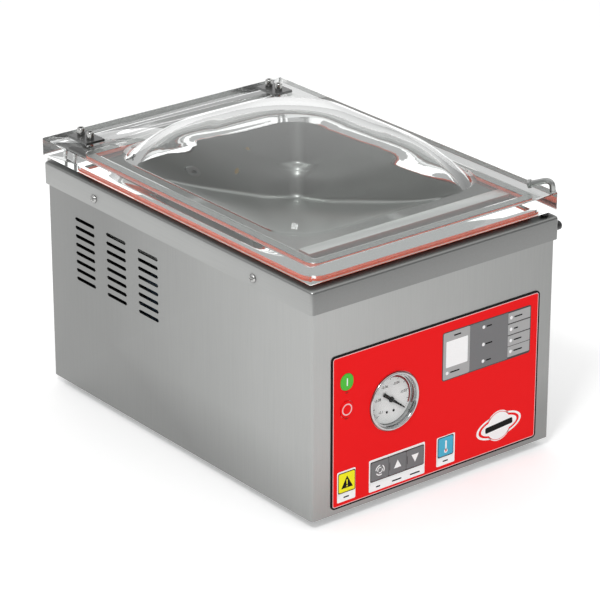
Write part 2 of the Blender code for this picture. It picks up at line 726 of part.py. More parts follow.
def make_panel(red, board_green):
    """The printed overlay with a window for each key, the keys, and the board behind."""
    face = facing("front", 0, FRONT, 0)
    low, high = GAP, GAP + PANEL_THICKNESS
    overlay = slab("control_overlay", PANEL_HALF, 0.005, low, high, red, face, PANEL_CENTRE)
    gauge_x, gauge_z = GAUGE_CENTRE
    start, end = (gauge_x, FRONT - 0.01, gauge_z), (gauge_x, FRONT + 0.01, gauge_z)
    windows = [rod("overlay_gauge_hole", start, end, GAUGE_RADIUS + 0.0006, sides=28)]
    for name, (centre, half, corner, colour) in KEY_LOOKS.items():
        x, z = centre
        opening = (half[0] + KEY_ROOM, half[1] + KEY_ROOM)
        place = facing("front", x, FRONT, z)
        steps = 8 if corner > 0.005 else 3
        outline = [ring(opening, corner + KEY_ROOM, z, steps=steps) for z in (-0.003, 0.003)]
        windows.append(loft(name + "_window", outline, place=place))
        top = KEY_BACK + KEY_THICKNESS
        trimmed = (half[0] - KEY_EDGE, half[1] - KEY_EDGE)
        rings = [
            ring(half, corner, KEY_BACK, steps=steps),
            ring(half, corner, top - KEY_EDGE, steps=steps),
            ring(trimmed, corner - KEY_EDGE, top, steps=steps),
        ]
        loft(name, rings, look(name, colour, 0.4), place)
    cut(overlay, *windows)

    low, high = (0.004, FRONT + 0.0080, 0.110), (0.136, FRONT + 0.0096, 0.182)
    board = box("control_board", low, high, board_green)
    chips = []
    for index, (x, z, width, height, depth) in enumerate(
        (
            (0.030, 0.160, 0.030, 0.022, 0.016),
            (0.075, 0.160, 0.024, 0.018, 0.010),
            (0.112, 0.150, 0.020, 0.030, 0.018),
            (0.050, 0.126, 0.046, 0.016, 0.012),
        )
    ):
        corner = (x - width / 2, FRONT + 0.0090, z - height / 2)
        far = (x + width / 2, FRONT + 0.0096 + depth, z + height / 2)
        chips.append(box(f"board_part_{index}", corner, far))
    for index, (x, z) in enumerate(((0.008, 0.114), (0.132, 0.114), (0.008, 0.178), (0.132, 0.178))):
        start = (x, FRONT + SHEET + GAP, z)
        chips.append(rod(f"board_post_{index}", start, (x, FRONT + 0.0090, z), 0.0025, sides=10))
    join(board, *chips)


def make_gauge(steel, white, glass, red):
    """A round vacuum gauge let into the front, with its needle resting near zero."""
    place = facing("front", GAUGE_CENTRE[0], FRONT, GAUGE_CENTRE[1])
    tube_radius = GAUGE_RADIUS - 0.0028
    case = [
        (0, -0.0250),
        (0.0262, -0.0250),
        (0.0262, -0.0063),
        (0.0280, -0.0063),
        (0.0280, -0.0008),
        (0.0293, -0.0008),
        (0.0293, 0.0014),
        (0.0301, 0.0030),
        (0.0316, 0.0030),
        (GAUGE_RADIUS, 0.0020),
        (GAUGE_RADIUS, GAP),
        (tube_radius, GAP),
        (tube_radius, -0.0270),
        (0.0060, -0.0270),
        (0.0060, -0.0400),
        (0, -0.0400),
    ]
    smooth(turned("gauge_case", case, steel, place, steps=24))
    dial = [(0.0015, -0.0050), (0.0276, -0.0050), (0.0276, -0.0060), (0.0015, -0.0060)]
    smooth(turned("gauge_dial", [*dial, dial[0]], white, place, steps=24))
    lens = [(0, 0.0010), (0.0289, 0.0010), (0.0289, -0.0004), (0, -0.0004)]
    smooth(turned("gauge_lens", lens, glass, place, steps=24))

    needle_turn = Matrix.Rotation(math.radians(-38), 4, "Z")
    hub = [(0, -0.0022), (0.0026, -0.0022), (0.0032, -0.0028), (0.0032, -0.0044)]
    hub += [(0.0009, -0.0044), (0.0009, -0.0090), (0, -0.0090)]
    needle = turned("gauge_needle", hub, red, place @ needle_turn, steps=16)
    arm = bmesh.new()
    tail, tip, tail_half, tip_half = -0.0125, 0.0225, 0.0013, 0.0003
    points = [(tail, -tail_half), (tip, -tip_half), (tip, tip_half), (tail, tail_half)]
    add_loft(arm, [[(x, y, z) for x, y in points] for z in (-0.0040, -0.0032)])
    join(needle, from_bmesh("needle_arm", arm, red, place @ needle_turn))


# Inside


def make_switch(black):
    """The lid switch under the front right corner, with its plunger."""
    x, y = SWITCH_SPOT
    under_deck = DECK_TOP - DECK_SHEET - GAP
    low, high = (0.1465, -0.2342, 0.246), (0.1628, -0.2215, under_deck)
    body = box("lid_switch", low, high, black, 0.0005)
    cut(body, rod("switch_bore", (x, y, 0.252), (x, y, 0.272), 0.0036, sides=16))
    top = LID_BOTTOM - GAP
    button = [(0, top), (0.0036, top), (0.0045, top - 0.0012), (0.0045, DECK_TOP + 0.0006)]
    profile = [*button, (0.0030, DECK_TOP + 0.0006), (0.0030, 0.2545), (0, 0.2545)]
    place = Matrix.Translation((x, y, 0))
    smooth(turned("switch_plunger", profile, black, place, steps=16))


def make_pump(cast, dark_steel, black):
    """The oiled vane pump with its motor and fan, along X on the housing floor."""
    bottom = FLOOR_TOP + GAP
    low, high = (-0.125, 0.022, bottom), (-0.0053, 0.128, 0.128)
    pump = box("vacuum_pump", low, high, cast, 0.006)
    oil_box = box("pump_oil_box", (-0.120, 0.030, 0.120), (-0.040, 0.118, 0.160), bevel=0.005)
    nozzle = rod("pump_nozzle", (-0.065, 0.120, 0.112), (-0.065, 0.143, 0.112), 0.0075)
    ribs = []
    for index in range(5):
        x = -0.108 + index * 0.022
        ribs.append(box(f"pump_rib_{index}", (x, 0.0185, 0.030), (x + 0.004, 0.030, 0.112)))
    join(pump, oil_box, nozzle, *ribs)

    rib_count, groove = 4, 0.003
    body_end = MOTOR_END - 0.006
    profile = [(0, MOTOR_END + 0.013), (0.004, MOTOR_END + 0.013), (0.004, MOTOR_END)]
    profile += [(0.046, MOTOR_END), (0.052, body_end)]
    pitch = (body_end - 0.004) / rib_count
    for index in range(rib_count):
        top = body_end - index * pitch
        profile += [(0.052, top - pitch / 2), (0.052 - groove, top - pitch / 2)]
        profile += [(0.052 - groove, top - pitch + 0.0005), (0.052, top - pitch)]
    profile += [(0.052, -0.005), (0, -0.005)]
    place = facing("right", 0, MOTOR_Y, MOTOR_Z)
    motor = smooth(turned("pump_motor", profile, dark_steel, place))
    low, high = (0.015, MOTOR_Y - 0.040, bottom), (0.095, MOTOR_Y + 0.040, MOTOR_Z - 0.042)
    junction = box("motor_box", (0.020, MOTOR_Y - 0.025, 0.118), (0.080, MOTOR_Y + 0.025, 0.148))
    join(motor, box("motor_foot", low, high), junction)

    hub_low, hub_high = MOTOR_END + 0.002, MOTOR_END + 0.014
    profile = [(0.0045, hub_high), (0.012, hub_high), (0.012, hub_low), (0.0045, hub_low)]
    fan = turned("motor_fan", [*profile, profile[0]], black, place)
    blades = []
    for index in range(5):
        turn = Matrix.Rotation(2 * math.pi * index / 5, 4, "Z")
        pitch_turn = Matrix.Rotation(math.radians(38), 4, "X")
        blade = box(f"fan_blade_{index}", (0.010, -0.0055, -0.0010), (0.044, 0.0055, 0.0010))
        shift = Matrix.Translation((0.027, 0, MOTOR_END + 0.008))
        blade.matrix_world = place @ turn @ shift @ pitch_turn
        blades.append(blade)
    join(fan, *blades)

    route = [
        (PORT[0], CHAMBER_REAR + 0.0205, PORT[1]),
        (PORT[0] - 0.001, CHAMBER_REAR + 0.033, PORT[1] - 0.003),
        (-0.024, 0.214, 0.207),
        (-0.046, 0.213, 0.165),
        (-0.061, 0.195, 0.127),
        (-0.065, 0.165, 0.1125),
        (-0.065, 0.1435, 0.112),
    ]
    tube("vacuum_hose", smooth_route(route, 20), 0.0072, black)


def make_electrics(black, brass, steel):
    """Sealing transformer, vent valve and mains inlet."""
    bottom = FLOOR_TOP + GAP
    core = box("transformer", (-0.135, -0.200, bottom), (-0.065, -0.150, 0.076), steel)
    winding = box(
        "transformer_winding", (-0.121, -0.211, 0.026), (-0.079, -0.139, 0.064), bevel=0.004
    )
    join(core, winding)

    x, z = VENT_PORT
    start = CHAMBER_REAR + SHEET + GAP
    low, high = (x - 0.014, start, z - 0.013), (x + 0.014, start + 0.022, z + 0.013)
    valve = box("vent_valve", low, high, brass, 0.001)
    coil = rod("valve_coil", (x, start + 0.011, z - 0.050), (x, start + 0.011, z - 0.010), 0.011)
    silencer = rod("valve_silencer", (x, start + 0.018, z), (x, start + 0.038, z), 0.007, sides=16)
    join(valve, coil, silencer)

    place = facing("rear", *INLET)
    inlet = slab("mains_inlet", (0.0240, 0.0145), 0.004, GAP, 0.0025, black, place)
    shroud = slab("inlet_shroud", (0.0138, 0.0101), 0.002, -0.022, 0.001, place=place)
    socket = slab("inlet_socket", (0.0120, 0.0083), 0.002, -0.018, 0.01, place=place)
    join(inlet, shroud)
    cut(inlet, socket)
    pins = []
    for index, (pin_x, pin_y) in enumerate(((-0.007, -0.0015), (0, 0.0025), (0.007, -0.0015))):
        low, high = (pin_x - 0.001, pin_y - 0.002, -0.019), (pin_x + 0.001, pin_y + 0.002, -0.006)
        pin = box(f"inlet_pin_{index}", low, high)
        pin.matrix_world = place @ pin.matrix_world
        pins.append(pin)
    join(inlet, *pins)


def settle():
    """Moves everything so that the origin lies under the middle of the whole machine."""
    for item in bpy.data.objects:
        if item.parent is None:
            item.location.y += HOUSING_Y


def make_all():
    steel = look("brushed steel", (0.58, 0.59, 0.58), 0.35, 1.0)
    chamber_steel = look("chamber steel", (0.30, 0.31, 0.31), 0.35, 1.0)
    dark_steel = look("dark steel", (0.12, 0.12, 0.12), 0.45, 1.0)
    handle_steel = look("handle steel", (0.35, 0.36, 0.35), 0.4, 1.0)
    chrome = look("polished steel", (0.80, 0.80, 0.80), 0.15, 1.0)
    aluminium = look("aluminium", (0.72, 0.72, 0.70), 0.35, 1.0)
    cast = look("cast housing", (0.20, 0.24, 0.28), 0.6)
    brass = look("brass", (0.72, 0.55, 0.25), 0.3, 1.0)
    rubber = look("black rubber", (0.02, 0.02, 0.02), 0.8)
    black = look("black plastic", (0.02, 0.02, 0.02), 0.45)
    silicone = look("red silicone", (0.62, 0.08, 0.03), 0.45)
    tape = look("coated tape", (0.35, 0.25, 0.15), 0.6)
    red = look("red overlay", (0.85, 0.02, 0.02), 0.35)
    board_green = look("circuit board", (0.02, 0.20, 0.08), 0.5)
    white = look("white dial", (0.90, 0.90, 0.88), 0.5)
    needle_black = look("needle black", (0.02, 0.02, 0.02), 0.4)
    glass = look("gauge glass", (0.95, 0.97, 0.97), 0.05, alpha=0.25)
    acrylic = look("clear acrylic", (0.93, 0.95, 0.95), 0.05, alpha=0.30)

    make_housing(steel, rubber, dark_steel)
    make_deck(steel, chrome, black)
    make_chamber(chamber_steel, brass)
    make_lid(acrylic, silicone, aluminium, dark_steel, chrome, handle_steel)
    make_sealing(aluminium, tape, dark_steel)
    make_panel(red, board_green)
    make_gauge(steel, white, glass, needle_black)
    make_switch(black)
    make_pump(cast, dark_steel, black)
    make_electrics(black, brass, dark_steel)


clear_scene()
PARTS = new_collection("vacuum packing machine")
CUTTERS = new_collection("cutters")
make_all()
settle()
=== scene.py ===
"""Looks, studio and camera for the table-top chamber vacuum packing machine.

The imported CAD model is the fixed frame. Pieces whose CAD shape is right only get a better material,
and the clear lid, gasket, gauge, printed front, keys, screws and hinge tops are modelled finely
here in the places that the frame gives. Units are metres, +Z is up and the front faces -Y.
"""

import math

import bmesh
import bpy
from mathutils import Matrix, Vector


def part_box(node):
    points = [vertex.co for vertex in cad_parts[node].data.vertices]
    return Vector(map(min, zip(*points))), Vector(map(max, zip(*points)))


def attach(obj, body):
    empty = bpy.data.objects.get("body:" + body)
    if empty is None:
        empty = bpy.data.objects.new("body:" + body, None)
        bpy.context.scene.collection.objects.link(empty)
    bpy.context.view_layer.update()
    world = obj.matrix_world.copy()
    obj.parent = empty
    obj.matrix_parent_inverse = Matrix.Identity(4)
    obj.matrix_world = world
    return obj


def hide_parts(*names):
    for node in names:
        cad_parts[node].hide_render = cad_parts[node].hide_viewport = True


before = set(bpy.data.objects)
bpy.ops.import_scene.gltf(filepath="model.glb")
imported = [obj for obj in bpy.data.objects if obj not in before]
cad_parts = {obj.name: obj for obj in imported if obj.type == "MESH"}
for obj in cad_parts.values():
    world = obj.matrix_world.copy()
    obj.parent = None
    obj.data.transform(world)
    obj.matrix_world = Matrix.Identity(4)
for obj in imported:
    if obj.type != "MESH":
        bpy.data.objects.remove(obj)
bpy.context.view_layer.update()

# View and studio
VIEW_AZIMUTH = math.radians(-38.335)
VIEW_ELEVATION = math.radians(23.207)
VIEW_DISTANCE = 3.307
VIEW_TARGET = Vector((0, -0.0180, 0.1398))
LENS = 180.0

# Places read from the frame
SHELL_LOW, SHELL_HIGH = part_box("housing_shell")
DECK_LOW, DECK_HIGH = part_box("top_deck")
PLATE_LOW, PLATE_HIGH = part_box("lid_plate")
GASKET_LOW, GASKET_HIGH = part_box("lid_gasket")
OVERLAY_LOW, OVERLAY_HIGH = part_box("control_overlay")
CASE_LOW, CASE_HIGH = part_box("gauge_case")
CLAMP_LOW, CLAMP_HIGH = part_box("clamp_plate_left")
FRONT = SHELL_LOW.y
GAP = 0.0003
LID_BOTTOM = PLATE_LOW.z
LID_TOP = CLAMP_LOW.z - GAP
HOUSING_Y = (DECK_LOW.y + DECK_HIGH.y) / 2
GAUGE_X = (CASE_LOW.x + CASE_HIGH.x) / 2
GAUGE_Z = (CASE_LOW.z + CASE_HIGH.z) / 2
BEZEL_RADIUS = (CASE_HIGH.x - CASE_LOW.x) / 2

# Gauge: the pointer's two ends in degrees, and the dial's face against the panel
NEEDLE_REST = -38.0
NEEDLE_FULL = 222.0
DIAL_FACE = -0.0050

# Print: each layer of film stands one step above the one below it
FILM_STEP = 0.00006
FILM_SINK = 0.00030
FILM_FACE = -(OVERLAY_LOW.y + FILM_SINK - FRONT)
FILM_DEPTH = FILM_STEP * 1.5
KEY_ROOM = 0.0004
BEZEL_ROOM = 0.0006
DASH_HEIGHT = 0.0016

# The blown dome of the lid and the seal, as in the CAD solids
DOME_HALF = (0.138, 0.167)
DOME_CENTRE = (0, HOUSING_Y - 0.003)
DOME_CORNER = 0.048
DOME_CROWN = 0.006
DOME_ROUNDING = 0.8
DOME_WALL = 0.007
OUTER_SHOULDER = (0.022, 1.8)
INNER_SHOULDER = (0.017, 1.2)
DOME_HEIGHT = PLATE_HIGH.z - LID_TOP
DOME_RINGS = 40
MOUTH_INSET = 0.008
GASKET_WIDTH = 0.010
LID_HOLE_RADIUS = 0.0036
CLAMP_HOLE_RADIUS = 0.0030

# Fineness of curves, and the steepest edge that is still shaded smoothly
CORNER_STEPS = 16
SMOOTH_ANGLE = math.radians(35)

# Painted shade and reflection on the steel, grain directions, and the film's gloss
GAP_SHADE_REACH = 0.012
FRONT_SKIRT_PAINTED_DARKENING = 0.64
ALONG_X = (0.02, 1.0, 1.0)
ALONG_Y = (1.0, 0.02, 1.0)
ALONG_Z = (1.0, 1.0, 0.02)
EVEN = (1.0, 1.0, 1.0)
FILM_GLOSS = 0.08


# Nodes, meshes and placing


def material(name):
    """A new node material, with its node tree and its Principled shader."""
    made = bpy.data.materials.new(name)
    made.use_nodes = True
    return made, made.node_tree, made.node_tree.nodes["Principled BSDF"]


def node(tree, kind, inputs=None, **settings):
    """Adds a node, sets its properties, then fills its inputs with values or links."""
    made = tree.nodes.new(kind)
    for key, value in settings.items():
        setattr(made, key, value)
    for key, value in (inputs or {}).items():
        if isinstance(value, bpy.types.NodeSocket):
            tree.links.new(value, made.inputs[key])
        else:
            made.inputs[key].default_value = value
    return made


def ramp(tree, factor, stops):
    """A colour ramp through (position, grey or colour) stops."""
    made = node(tree, "ShaderNodeValToRGB", {"Fac": factor})
    elements = made.color_ramp.elements
    while len(elements) < len(stops):
        elements.new(1.0)
    for element, (position, value) in zip(elements, stops):
        element.position = position
        element.color = (*value, 1) if isinstance(value, tuple) else (value, value, value, 1)
    return made.outputs["Color"]


def stretched_noise(tree, stretch, scale, detail=4.0):
    """Noise in object space, stretched along the small components of stretch."""
    place = node(tree, "ShaderNodeTexCoord").outputs["Object"]
    mapping = node(tree, "ShaderNodeMapping", {"Vector": place, "Scale": stretch})
    made = node(
        tree,
        "ShaderNodeTexNoise",
        {"Vector": mapping.outputs["Vector"], "Scale": scale, "Detail": detail},
    )
    return made.outputs["Fac"]


def multiply(tree, one, two, factor=1.0):
    """One colour times another, or partly so for a smaller factor."""
    made = node(
        tree,
        "ShaderNodeMix",
        {"Factor": factor, "A": one, "B": two},
        data_type="RGBA",
        blend_type="MULTIPLY",
    )
    return made.outputs["Result"]


def tint(tree, shader, pattern, colour, tones, stops=(0.3, 0.7)):
    """Colours the shader between a darker and a lighter tone of one colour."""
    low, high = (tuple(channel * tone for channel in colour) for tone in tones)
    shades = ramp(tree, pattern, ((stops[0], low), (stops[1], high)))
    tree.links.new(shades, shader.inputs["Base Color"])


def set_values(shader, **values):
    """Sets the shader's own sockets. Underscores in a name stand for spaces."""
    for name, value in values.items():
        socket = shader.inputs[name.replace("_", " ")]
        socket.default_value = (*value, 1.0) if isinstance(value, tuple) else value


def bump(tree, shader, height, distance, strength):
    """Fine relief of the surface."""
    made = node(
        tree, "ShaderNodeBump", {"Height": height, "Distance": distance, "Strength": strength}
    )
    tree.links.new(made.outputs["Normal"], shader.inputs["Normal"])


def shading_group():
    """Geometry nodes that weld split corners and shade smoothly across shallow edges."""
    group = bpy.data.node_groups.new("smooth_by_angle", "GeometryNodeTree")
    for way in ("INPUT", "OUTPUT"):
        group.interface.new_socket("Geometry", in_out=way, socket_type="NodeSocketGeometry")
    start = node(group, "NodeGroupInput")
    weld = node(
        group,
        "GeometryNodeMergeByDistance",
        {"Geometry": start.outputs["Geometry"], "Distance": 0.000002},
    )
    plain = node(
        group,
        "GeometryNodeSetMeshNormal",
        {"Mesh": weld.outputs["Geometry"], "Remove Custom": True},
        mode="SHARPNESS",
        domain="FACE",
    )
    faces = node(
        group,
        "GeometryNodeSetShadeSmooth",
        {"Geometry": plain.outputs["Mesh"], "Shade Smooth": True},
        domain="FACE",
    )
    steep = node(
        group,
        "FunctionNodeCompare",
        {
            "A": node(group, "GeometryNodeInputMeshEdgeAngle").outputs["Unsigned Angle"],
            "B": SMOOTH_ANGLE,
        },
        operation="GREATER_THAN",
    )
    edges = node(
        group,
        "GeometryNodeSetShadeSmooth",
        {
            "Geometry": faces.outputs["Geometry"],
            "Selection": steep.outputs["Result"],
            "Shade Smooth": False,
        },
        domain="EDGE",
    )
    node(group, "NodeGroupOutput", {"Geometry": edges.outputs["Geometry"]})
    return group


def paint(made, *names):
    """Gives CAD nodes a material, shaded smoothly across their shallow edges."""
    for name in names:
        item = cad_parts[name]
        for slot in item.material_slots:
            slot.material = made
        item.modifiers.new("Smooth shading", "NODES").node_group = SMOOTHING


def facing(side, x, y, z):
    """A frame at (x, y, z) whose local Z points out of the named side, with local Y upwards."""
    across, upward, out = {
        "front": ((1, 0, 0), (0, 0, 1), (0, -1, 0)),
        "left": ((0, -1, 0), (0, 0, 1), (-1, 0, 0)),
        "right": ((0, 1, 0), (0, 0, 1), (1, 0, 0)),
        "up": ((1, 0, 0), (0, 1, 0), (0, 0, 1)),
    }[side]
    turned_frame = Matrix((across, upward, out)).transposed().to_4x4()
    return Matrix.Translation((x, y, z)) @ turned_frame


def add_piece(name, shape, made, body, place=Matrix()):
    """Makes an object from a bmesh, shades it, and lets it ride on a body."""
    bmesh.ops.recalc_face_normals(shape, faces=shape.faces)
    mesh = bpy.data.meshes.new(name)
    shape.to_mesh(mesh)
    shape.free()
    mesh.shade_smooth()
    mesh.set_sharp_from_angle(angle=SMOOTH_ANGLE)
    for one in made if isinstance(made, tuple) else (made,):
        mesh.materials.append(one)
    item = bpy.data.objects.new(name, mesh)
    bpy.context.scene.collection.objects.link(item)
    item.matrix_world = place
    if body:
        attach(item, body)
    return item


def bevel(item, width):
    """Softens the item's edges."""
    edge = item.modifiers.new("Soft edges", "BEVEL")
    edge.width = width
    edge.segments = 2
    edge.harden_normals = True


def middle(name):
    """The centre of a CAD node's box."""
    return tuple((low + high) / 2 for low, high in zip(*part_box(name)))


def half_sides(low, high):
    """Half of a box's size along X, Y and Z."""
    return tuple((top - bottom) / 2 for bottom, top in zip(low, high))


def full_turn(steps):
    """Evenly spaced angles round a circle."""
    return [2 * math.pi * step / steps for step in range(steps)]


def circle(radius, z, steps, centre=(0, 0)):
    """Points of a level circle."""
    x, y = centre
    return [(x + radius * math.cos(a), y + radius * math.sin(a), z) for a in full_turn(steps)]


def arc(radius, start, end, steps=16, centre=(0, 0)):
    """Points (x, y) of an arc between two angles in degrees."""
    angles = [math.radians(start + (end - start) * step / steps) for step in range(steps + 1)]
    return [(centre[0] + radius * math.cos(a), centre[1] + radius * math.sin(a)) for a in angles]


def band(outer, inner, start, end, steps):
    """Outline of a strip between two arcs."""
    return arc(outer, start, end, steps) + list(reversed(arc(inner, start, end, steps)))


def slab(outline, low, high, shape=None):
    """A flat plate with the given (x, y) outline, between two heights."""
    return loft([[(x, y, z) for x, y in outline] for z in (low, high)], shape=shape)


def ring(half, radius, height, centre=(0, 0), steps=CORNER_STEPS):
    """Points of a level rounded rectangle, anticlockwise seen from above."""
    points = []
    for quarter, (side_x, side_y) in enumerate(((1, 1), (-1, 1), (-1, -1), (1, -1))):
        corner_x = centre[0] + side_x * (half[0] - radius)
        corner_y = centre[1] + side_y * (half[1] - radius)
        for step in range(steps + 1):
            angle = math.pi / 2 * (quarter + step / steps)
            x = corner_x + radius * math.cos(angle)
            y = corner_y + radius * math.sin(angle)
            points.append((x, y, height))
    return points


def loft(rings, looped=False, shape=None):
    """Skins the rings one after another, and caps both ends unless the last joins the first."""
    shape = shape or bmesh.new()
    loops = [[shape.verts.new(point) for point in points] for points in rings]
    pairs = list(zip(loops, loops[1:]))
    if looped:
        pairs.append((loops[-1], loops[0]))
    else:
        shape.faces.new(reversed(loops[0]))
        shape.faces.new(loops[-1])
    for lower, upper in pairs:
        for here in range(len(lower)):
            after = (here + 1) % len(lower)
            shape.faces.new((lower[here], lower[after], upper[after], upper[here]))
    return shape


def turned(profile, steps=64, shape=None):
    """A profile of (radius, height) points turned about local Z, from the top centre outwards."""
    shape = shape or bmesh.new()
    loops = []
    for radius, height in profile:
        if radius == 0:
            loops.append([shape.verts.new((0, 0, height))])
            continue
        loops.append([shape.verts.new(point) for point in circle(radius, height, steps)])
    for one, two in zip(loops, loops[1:]):
        for here in range(steps):
            after = (here + 1) % steps
            corners = [one[here % len(one)], one[after % len(one)]]
            corners += [two[after % len(two)], two[here % len(two)]]
            shape.faces.new(list(dict.fromkeys(corners)))
    return shape


def block(low, high, shape=None):
    """A plain block between two corners, for use with a bevel or as one of several."""
    shape = shape or bmesh.new()
    low, high = Vector(low), Vector(high)
    cube = bmesh.ops.create_cube(shape, size=1.0)["verts"]
    bmesh.ops.scale(shape, vec=high - low, verts=cube)
    bmesh.ops.translate(shape, vec=(low + high) / 2, verts=cube)
    return shape


def cutter(name, shape, place=Matrix()):
    """An unseen object that cuts others."""
    item = add_piece(name, shape, (), None, place)
    item.hide_render = True
    item.hide_viewport = True
    return item


def cut(item, tool):
    """Takes the tool's shape out of the item."""
    change = item.modifiers.new(tool.name, "BOOLEAN")
    change.operation = "DIFFERENCE"
    change.object = tool
    change.solver = "EXACT"
    change.use_self = True
    return item


def apply_all(item):
    """Puts the result of the item's modifiers into its mesh."""
    graph = bpy.context.evaluated_depsgraph_get()
    mesh = bpy.data.meshes.new_from_object(item.evaluated_get(graph))
    item.modifiers.clear()
    item.data = mesh
    return item


# Materials


def painted_reflection_fall_off(tree):
    """Painted reflection and shade: the base tone drops away from the housing's near upright edge."""
    place = node(tree, "ShaderNodeTexCoord").outputs["Object"]
    axes = node(tree, "ShaderNodeSeparateXYZ", {"Vector": place})
    total = None
    for axis, start, end, weight in (
        ("X", SHELL_LOW.x, SHELL_HIGH.x, 0.75),
        ("Y", SHELL_LOW.y, SHELL_HIGH.y, 1.30),
        ("Z", SHELL_LOW.z + 0.08, SHELL_LOW.z, 0.50),
    ):
        share = node(
            tree,
            "ShaderNodeMapRange",
            {"Value": axes.outputs[axis], "From Min": start, "From Max": end, "To Max": weight},
        ).outputs["Result"]
        if total is None:
            total = share
        else:
            total = node(tree, "ShaderNodeMath", {0: total, 1: share}).outputs[0]
    return ramp(tree, total, ((0.0, 1.0), (0.25, 0.93), (0.55, 0.80), (1.0, 0.62)))


def shaded_gap(tree, tone):
    """Painted shade: darkens a surface's colour where another lies close over it."""
    open_share = node(tree, "ShaderNodeAmbientOcclusion", {"Distance": GAP_SHADE_REACH}, samples=6)
    shade = ramp(tree, open_share.outputs["AO"], ((0.0, 0.0), (0.5, 0.15), (0.9, 1.0)))
    direct = node(tree, "ShaderNodeLightPath").outputs["Is Camera Ray"]
    strength = node(tree, "ShaderNodeMapRange", {"Value": direct, "To Min": 0.1}).outputs["Result"]
    return multiply(tree, tone, shade, strength)


def painted_dim_reflection(tree, tone):
    """Painted reflection: darkens the skirt's front colour, standing for the dim side of the room it
    mirrors.
    """
    normal = node(tree, "ShaderNodeTexCoord").outputs["Normal"]
    axes = node(tree, "ShaderNodeSeparateXYZ", {"Vector": normal})
    forward = node(tree, "ShaderNodeMath", {0: axes.outputs["Y"], 1: -1.0}, operation="MULTIPLY")
    shade = ramp(tree, forward.outputs[0], ((0.6, 1.0), (0.98, FRONT_SKIRT_PAINTED_DARKENING)))
    return multiply(tree, tone, shade)


def brushed_steel(name, colour, grain, roughness=0.34, painted_reflection_fade=False, painted_shade=False):
    """Brushed stainless sheet: fine scratches along one axis and slow cloudy variation."""
    made, tree, shader = material(name)
    fine = stretched_noise(tree, grain, 900.0, 6.0)
    cloud = stretched_noise(tree, EVEN, 9.0, 2.0)
    low, high = (tuple(channel * tone for channel in colour) for tone in (0.965, 1.03))
    scratch = ramp(tree, fine, ((0.32, low), (0.68, high)))
    cloud_and_painted_reflection = ramp(tree, cloud, ((0.3, 0.965), (0.7, 1.0)))
    # Painted reflection: the shell's colour drops away from its near upright edge
    if painted_reflection_fade:
        cloud_and_painted_reflection = multiply(tree, cloud_and_painted_reflection, painted_reflection_fall_off(tree))
    tone = multiply(tree, scratch, cloud_and_painted_reflection)
    # Painted shade under the lid, and a painted dim reflection on the skirt's front
    if painted_shade:
        tone = painted_dim_reflection(tree, shaded_gap(tree, tone))
    tree.links.new(tone, shader.inputs["Base Color"])
    rough = node(
        tree,
        "ShaderNodeMapRange",
        {"Value": fine, "From Min": 0.25, "From Max": 0.75},
    )
    rough.inputs["To Min"].default_value = roughness - 0.03
    rough.inputs["To Max"].default_value = roughness + 0.04
    tree.links.new(rough.outputs["Result"], shader.inputs["Roughness"])
    set_values(shader, Metallic=1.0)
    bump(tree, shader, fine, 0.00002, 0.35)
    return made


def plain_metal(name, colour, roughness, metallic=1.0, grain_scale=500.0, depth=0.00001):
    """Cast, turned or enamelled metal with fine even grain."""
    made, tree, shader = material(name)
    grain = stretched_noise(tree, EVEN, grain_scale, 3.0)
    tint(tree, shader, grain, colour, (0.88, 1.08))
    set_values(shader, Metallic=metallic, Roughness=roughness)
    bump(tree, shader, grain, depth, 0.4)
    return made


def plastic(name, colour, roughness=0.4, gloss=0.5, grain_scale=1800.0, depth=0.000006):
    """Moulded or printed plastic with a fine grain."""
    made, tree, shader = material(name)
    grain = stretched_noise(tree, EVEN, grain_scale, 2.0)
    tint(tree, shader, grain, colour, (0.97, 1.02), (0.35, 0.65))
    set_values(shader, Roughness=roughness, Specular_IOR_Level=gloss)
    bump(tree, shader, grain, depth, 0.3)
    return made


def clear_acrylic():
    """Polished acrylic sheet with faint wipe marks. Light for other surfaces passes straight."""
    made, tree, shader = material("clear_acrylic")
    wipe = stretched_noise(tree, (1, 0.25, 1), 30.0, 3.0)
    rough = node(tree, "ShaderNodeMapRange", {"Value": wipe, "From Min": 0.45, "From Max": 0.8})
    rough.inputs["To Min"].default_value = 0.0
    rough.inputs["To Max"].default_value = 0.03
    tree.links.new(rough.outputs["Result"], shader.inputs["Roughness"])
    set_values(shader, Base_Color=(0.965, 0.975, 0.970), Transmission_Weight=1.0, IOR=1.49)
    path = node(tree, "ShaderNodeLightPath").outputs
    inputs = {0: path["Is Glossy Ray"], 1: path["Is Transmission Ray"]}
    mirrored = node(tree, "ShaderNodeMath", inputs, operation="SUBTRACT", use_clamp=True)
    passing = mirrored.outputs[0]
    for kind in ("Is Shadow Ray", "Is Diffuse Ray"):
        inputs = {0: passing, 1: path[kind]}
        passing = node(tree, "ShaderNodeMath", inputs, operation="MAXIMUM").outputs[0]
    through = node(tree, "ShaderNodeBsdfTransparent", {"Color": (0.93, 0.94, 0.935, 1)})
    mixed = node(tree, "ShaderNodeMixShader", {0: passing, 1: shader.outputs["BSDF"]})
    tree.links.new(through.outputs["BSDF"], mixed.inputs[2])
    output = tree.nodes["Material Output"]
    tree.links.new(mixed.outputs["Shader"], output.inputs["Surface"])
    return made


def window_glass():
    """Thin clear window: mostly see-through, with a faint sheen."""
    made, tree, shader = material("gauge_glass")
    grain = stretched_noise(tree, EVEN, 60.0, 2.0)
    rough = ramp(tree, grain, ((0.45, 0.02), (0.8, 0.06)))
    tree.links.new(rough, shader.inputs["Roughness"])
    set_values(shader, Base_Color=(0.25, 0.26, 0.26), Alpha=0.04, IOR=1.45)
    return made


def silicone(name, colour):
    """Satin silicone rubber with a soft mottled surface."""
    made, tree, shader = material(name)
    mottle = stretched_noise(tree, EVEN, 140.0, 4.0)
    tint(tree, shader, mottle, colour, (0.86, 1.12))
    set_values(shader, Roughness=0.38, Subsurface_Weight=0.15, Subsurface_Scale=0.002)
    bump(tree, shader, mottle, 0.00008, 0.4)
    return made


